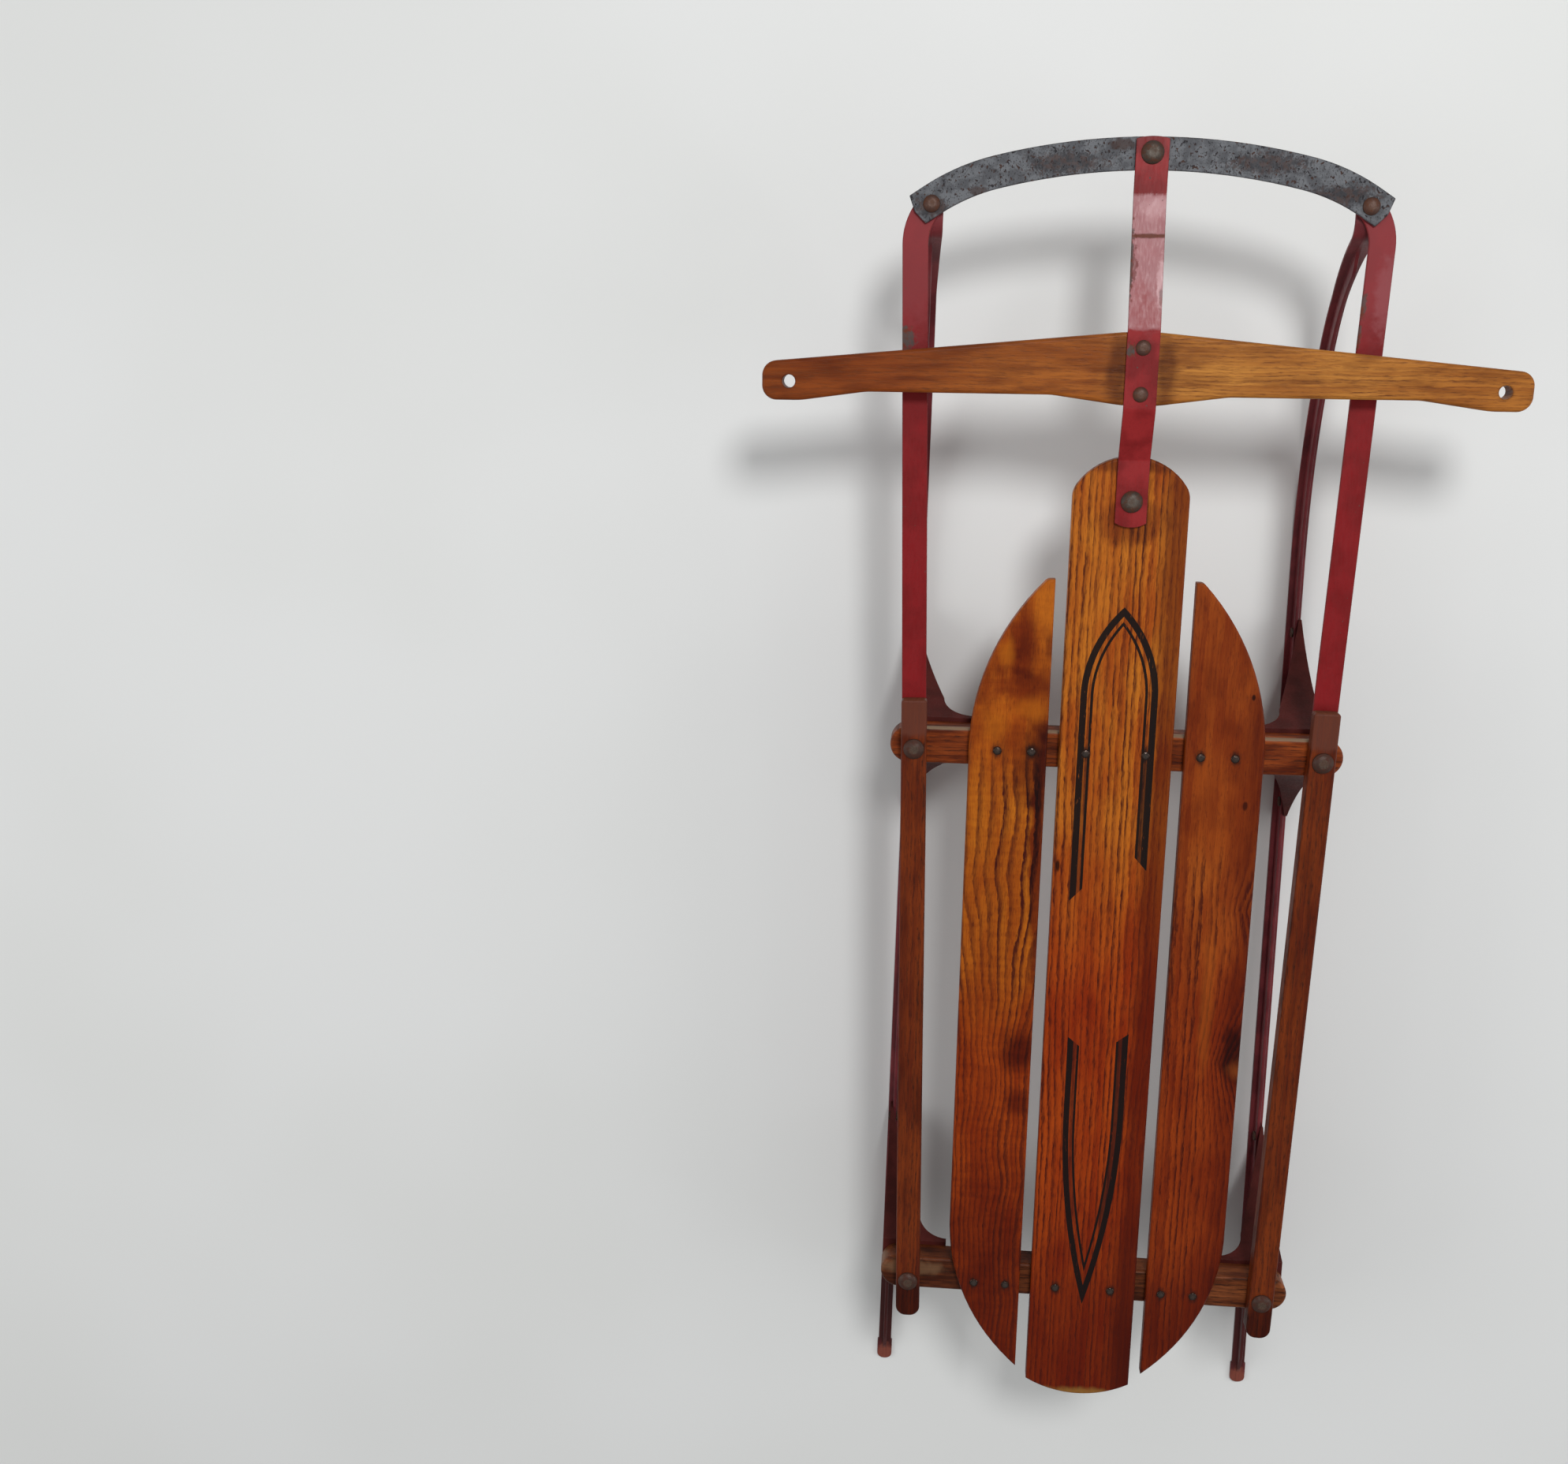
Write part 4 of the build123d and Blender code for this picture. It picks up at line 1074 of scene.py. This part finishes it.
    def build(self) -> None:
        """Carries the T along the line on both sides."""
        s, flat, heading = self.line()
        section = self.rounded(self.section(s, flat[:, 1]))
        forward = np.append(np.subtract(self.rivet, self.tail) / math.dist(self.tail, self.rivet), 0.0)
        sideways = np.array([forward[1], -forward[0], 0.0])
        upright = np.array([0.0, 0.0, 1.0])
        rise = upright * np.cos(heading)[:, None] - forward * np.sin(heading)[:, None]
        base = np.append(self.tail, 0.0) + flat[:, :1] * forward + flat[:, 1:] * upright
        rings = base[:, None] + section[..., :1] * sideways + section[..., 1:] * rise[:, None]
        rows, columns = rings.shape[:2]
        points = np.concatenate([rings.reshape(-1, 3), rings[0].mean(0)[None], rings[-1].mean(0)[None]])
        around = np.arange(columns)
        first = np.stack([around, np.full(columns, rows * columns), (around + 1) % columns], -1)
        last = (rows - 1) * columns + np.stack([around, (around + 1) % columns], -1)
        caps = np.concatenate([first, np.insert(last, 2, rows * columns + 1, axis=1)])
        faces = [*grid_faces(rows, columns), *caps]
        enamel = EnamelledSteel(
            "Rolled steel, maroon enamel", 95.0, "#742E32", "#5E2428", chips=0.1, corner=0.5, metal="#5A3A36",
            rim_tone="#54292A", gloss=0.36,
            tones_and_glare=tuple(
                Spot(side * x, *rest) for _, side in SIDES
                for x, *rest in ((170, -510, 16, 50, "#34140F", 0.8, 0.6, 0.8), (172, -562, 8, 11, "#7C4234", 0.9))
            )).material()
        for name, side in SIDES:
            placed = points * (side * MM, MM, MM)
            piece = new_piece(f"runner_bar_{name}", placed, faces, None, enamel)
            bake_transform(piece)
            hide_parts(f"runner_{name}", f"runner_nose_{name}")


@dataclass
class Studio:
    """Pale floor, soft light and the camera."""

    lens: float = 2100.0
    image_wide: float = 1988.0
    sensor: float = 36.0
    clip: tuple[float, float] = (0.05, 60.0)
    eye: tuple[float, float, float] = (-145.73, 425.50, 1461.59)
    right: tuple[float, float, float] = (0.995407, 0.012747, -0.094880)
    down: tuple[float, float, float] = (0.034725, -0.971672, 0.233767)
    look: tuple[float, float, float] = (-0.089212, -0.235988, -0.967652)
    floor_half: float = 9.0
    floor_tones: tuple[str, str] = ("#DEDFDD", "#E2E3E2")
    floor_lump: float = 420.0
    floor_rough: float = 0.85
    lamps: tuple[tuple[str, tuple[float, float, float], float, float], ...] = (
        ("key", (0.30, 1.35, 2.40), 0.55, 34.0),
        ("left", (-2.7, 0.1, 1.7), 1.8, 20.0),
        ("right", (2.7, 0.1, 1.7), 1.8, 20.0),
    )
    sky: float = 0.42
    backdrop: float = 0.76
    backdrop_tone: str = "#F4F5F6"
    fade: tuple[float, float] = (1700.0, 3600.0)

    def build(self) -> None:
        """Sets up the floor, the lamps, the world and the camera."""
        scene = bpy.context.scene
        scene.view_settings.view_transform = "Standard"
        self.floor()
        for name, place, size, watts in self.lamps:
            light = bpy.data.lights.new(name, "AREA")
            light.shape, light.size, light.energy = "DISK", size, watts
            lamp = bpy.data.objects.new(name, light)
            lamp.matrix_world = Matrix.LocRotScale(Vector(place), (-Vector(place)).to_track_quat("-Z", "Y"), None)
            scene.collection.objects.link(lamp)
        scene.world = self.room()
        lens = bpy.data.cameras.new("Camera")
        lens.sensor_width, lens.sensor_fit = self.sensor, "HORIZONTAL"
        lens.lens = self.lens / self.image_wide * self.sensor
        lens.clip_start, lens.clip_end = self.clip
        camera = bpy.data.objects.new("Camera", lens)
        x, y, z = self.right, [-c for c in self.down], [-c for c in self.look]
        camera.matrix_world = Matrix([[x[i], y[i], z[i], self.eye[i] * MM] for i in range(3)] + [[0.0, 0.0, 0.0, 1.0]])
        scene.collection.objects.link(camera)
        scene.camera = camera

    def room(self) -> World:
        """Soft light from all round, which the camera sees as a paler backdrop than it casts on the sled.

        Returns:
            The world.
        """
        world = bpy.data.worlds.new("Pale room")
        world.use_nodes = True
        tree = world.node_tree
        light = tree.nodes["Background"].inputs
        light["Color"].default_value = linear(self.backdrop_tone)
        seen, strength = tree.nodes.new("ShaderNodeLightPath"), tree.nodes.new("ShaderNodeMapRange")
        strength.inputs["To Min"].default_value = self.sky
        strength.inputs["To Max"].default_value = self.backdrop
        tree.links.new(seen.outputs["Is Camera Ray"], strength.inputs["Value"])
        tree.links.new(strength.outputs["Result"], light["Strength"])
        return world

    def floor(self) -> None:
        """A plain square under the runners, matt and pale, that turns into the backdrop's tone far off."""
        half = self.floor_half
        corners = np.array([[-half, -half, 0], [half, -half, 0], [half, half, 0], [-half, half, 0]], float)
        mesh = bpy.data.meshes.new("floor")
        mesh.from_pydata(corners.tolist(), [], [[0, 1, 2, 3]])
        coat = Coat("Painted plaster, rolled", 2.0)
        tone = coat.add(SOFT, coat.cloud((self.floor_lump,) * 3, 0.0, 2.0), 0.3, 0.7)
        colour = coat.add("MixRGB", tone, *map(linear, self.floor_tones))
        plaster = coat.add("BsdfPrincipled", colour, links={"Roughness": self.floor_rough})
        away = coat.add(SOFT, coat.add("VectorMath.LENGTH", coat.mm, out="Value"), *self.fade)
        seen = coat.add("MULTIPLY", coat.add("LightPath", out="Is Camera Ray"), away)
        backdrop = coat.add("Emission", linear(self.backdrop_tone), self.backdrop)
        coat.add("OutputMaterial", coat.add("MixShader", seen, plaster, backdrop), out=None)
        mesh.materials.append(coat.material)
        floor = bpy.data.objects.new("floor", mesh)
        bpy.context.scene.collection.objects.link(floor)
        floor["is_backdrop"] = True


def corners(box: tuple) -> list[list[float]]:
    """A box's two corners as plain lists."""
    return [[float(c) for c in corner] for corner in box]


def main() -> None:
    """Builds the sub-assemblies in order and works out both boxes."""
    logging.basicConfig(level=logging.INFO, format="%(message)s")
    cad_box = corners(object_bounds())
    Studio().build()
    for part in (Runners(), Underframe(), Deck(), Steering(), Fasteners()):
        LOG.info("building %s", type(part).__name__)
        part.build()
    {"cad": cad_box, "visual": corners(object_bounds())}


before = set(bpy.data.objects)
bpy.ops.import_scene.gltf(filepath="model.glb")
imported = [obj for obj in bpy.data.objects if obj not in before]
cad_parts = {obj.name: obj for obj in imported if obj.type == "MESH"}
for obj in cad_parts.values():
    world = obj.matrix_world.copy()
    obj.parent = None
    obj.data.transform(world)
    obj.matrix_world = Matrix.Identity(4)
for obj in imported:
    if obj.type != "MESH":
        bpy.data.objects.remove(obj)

if __name__ == "__main__":
    main()
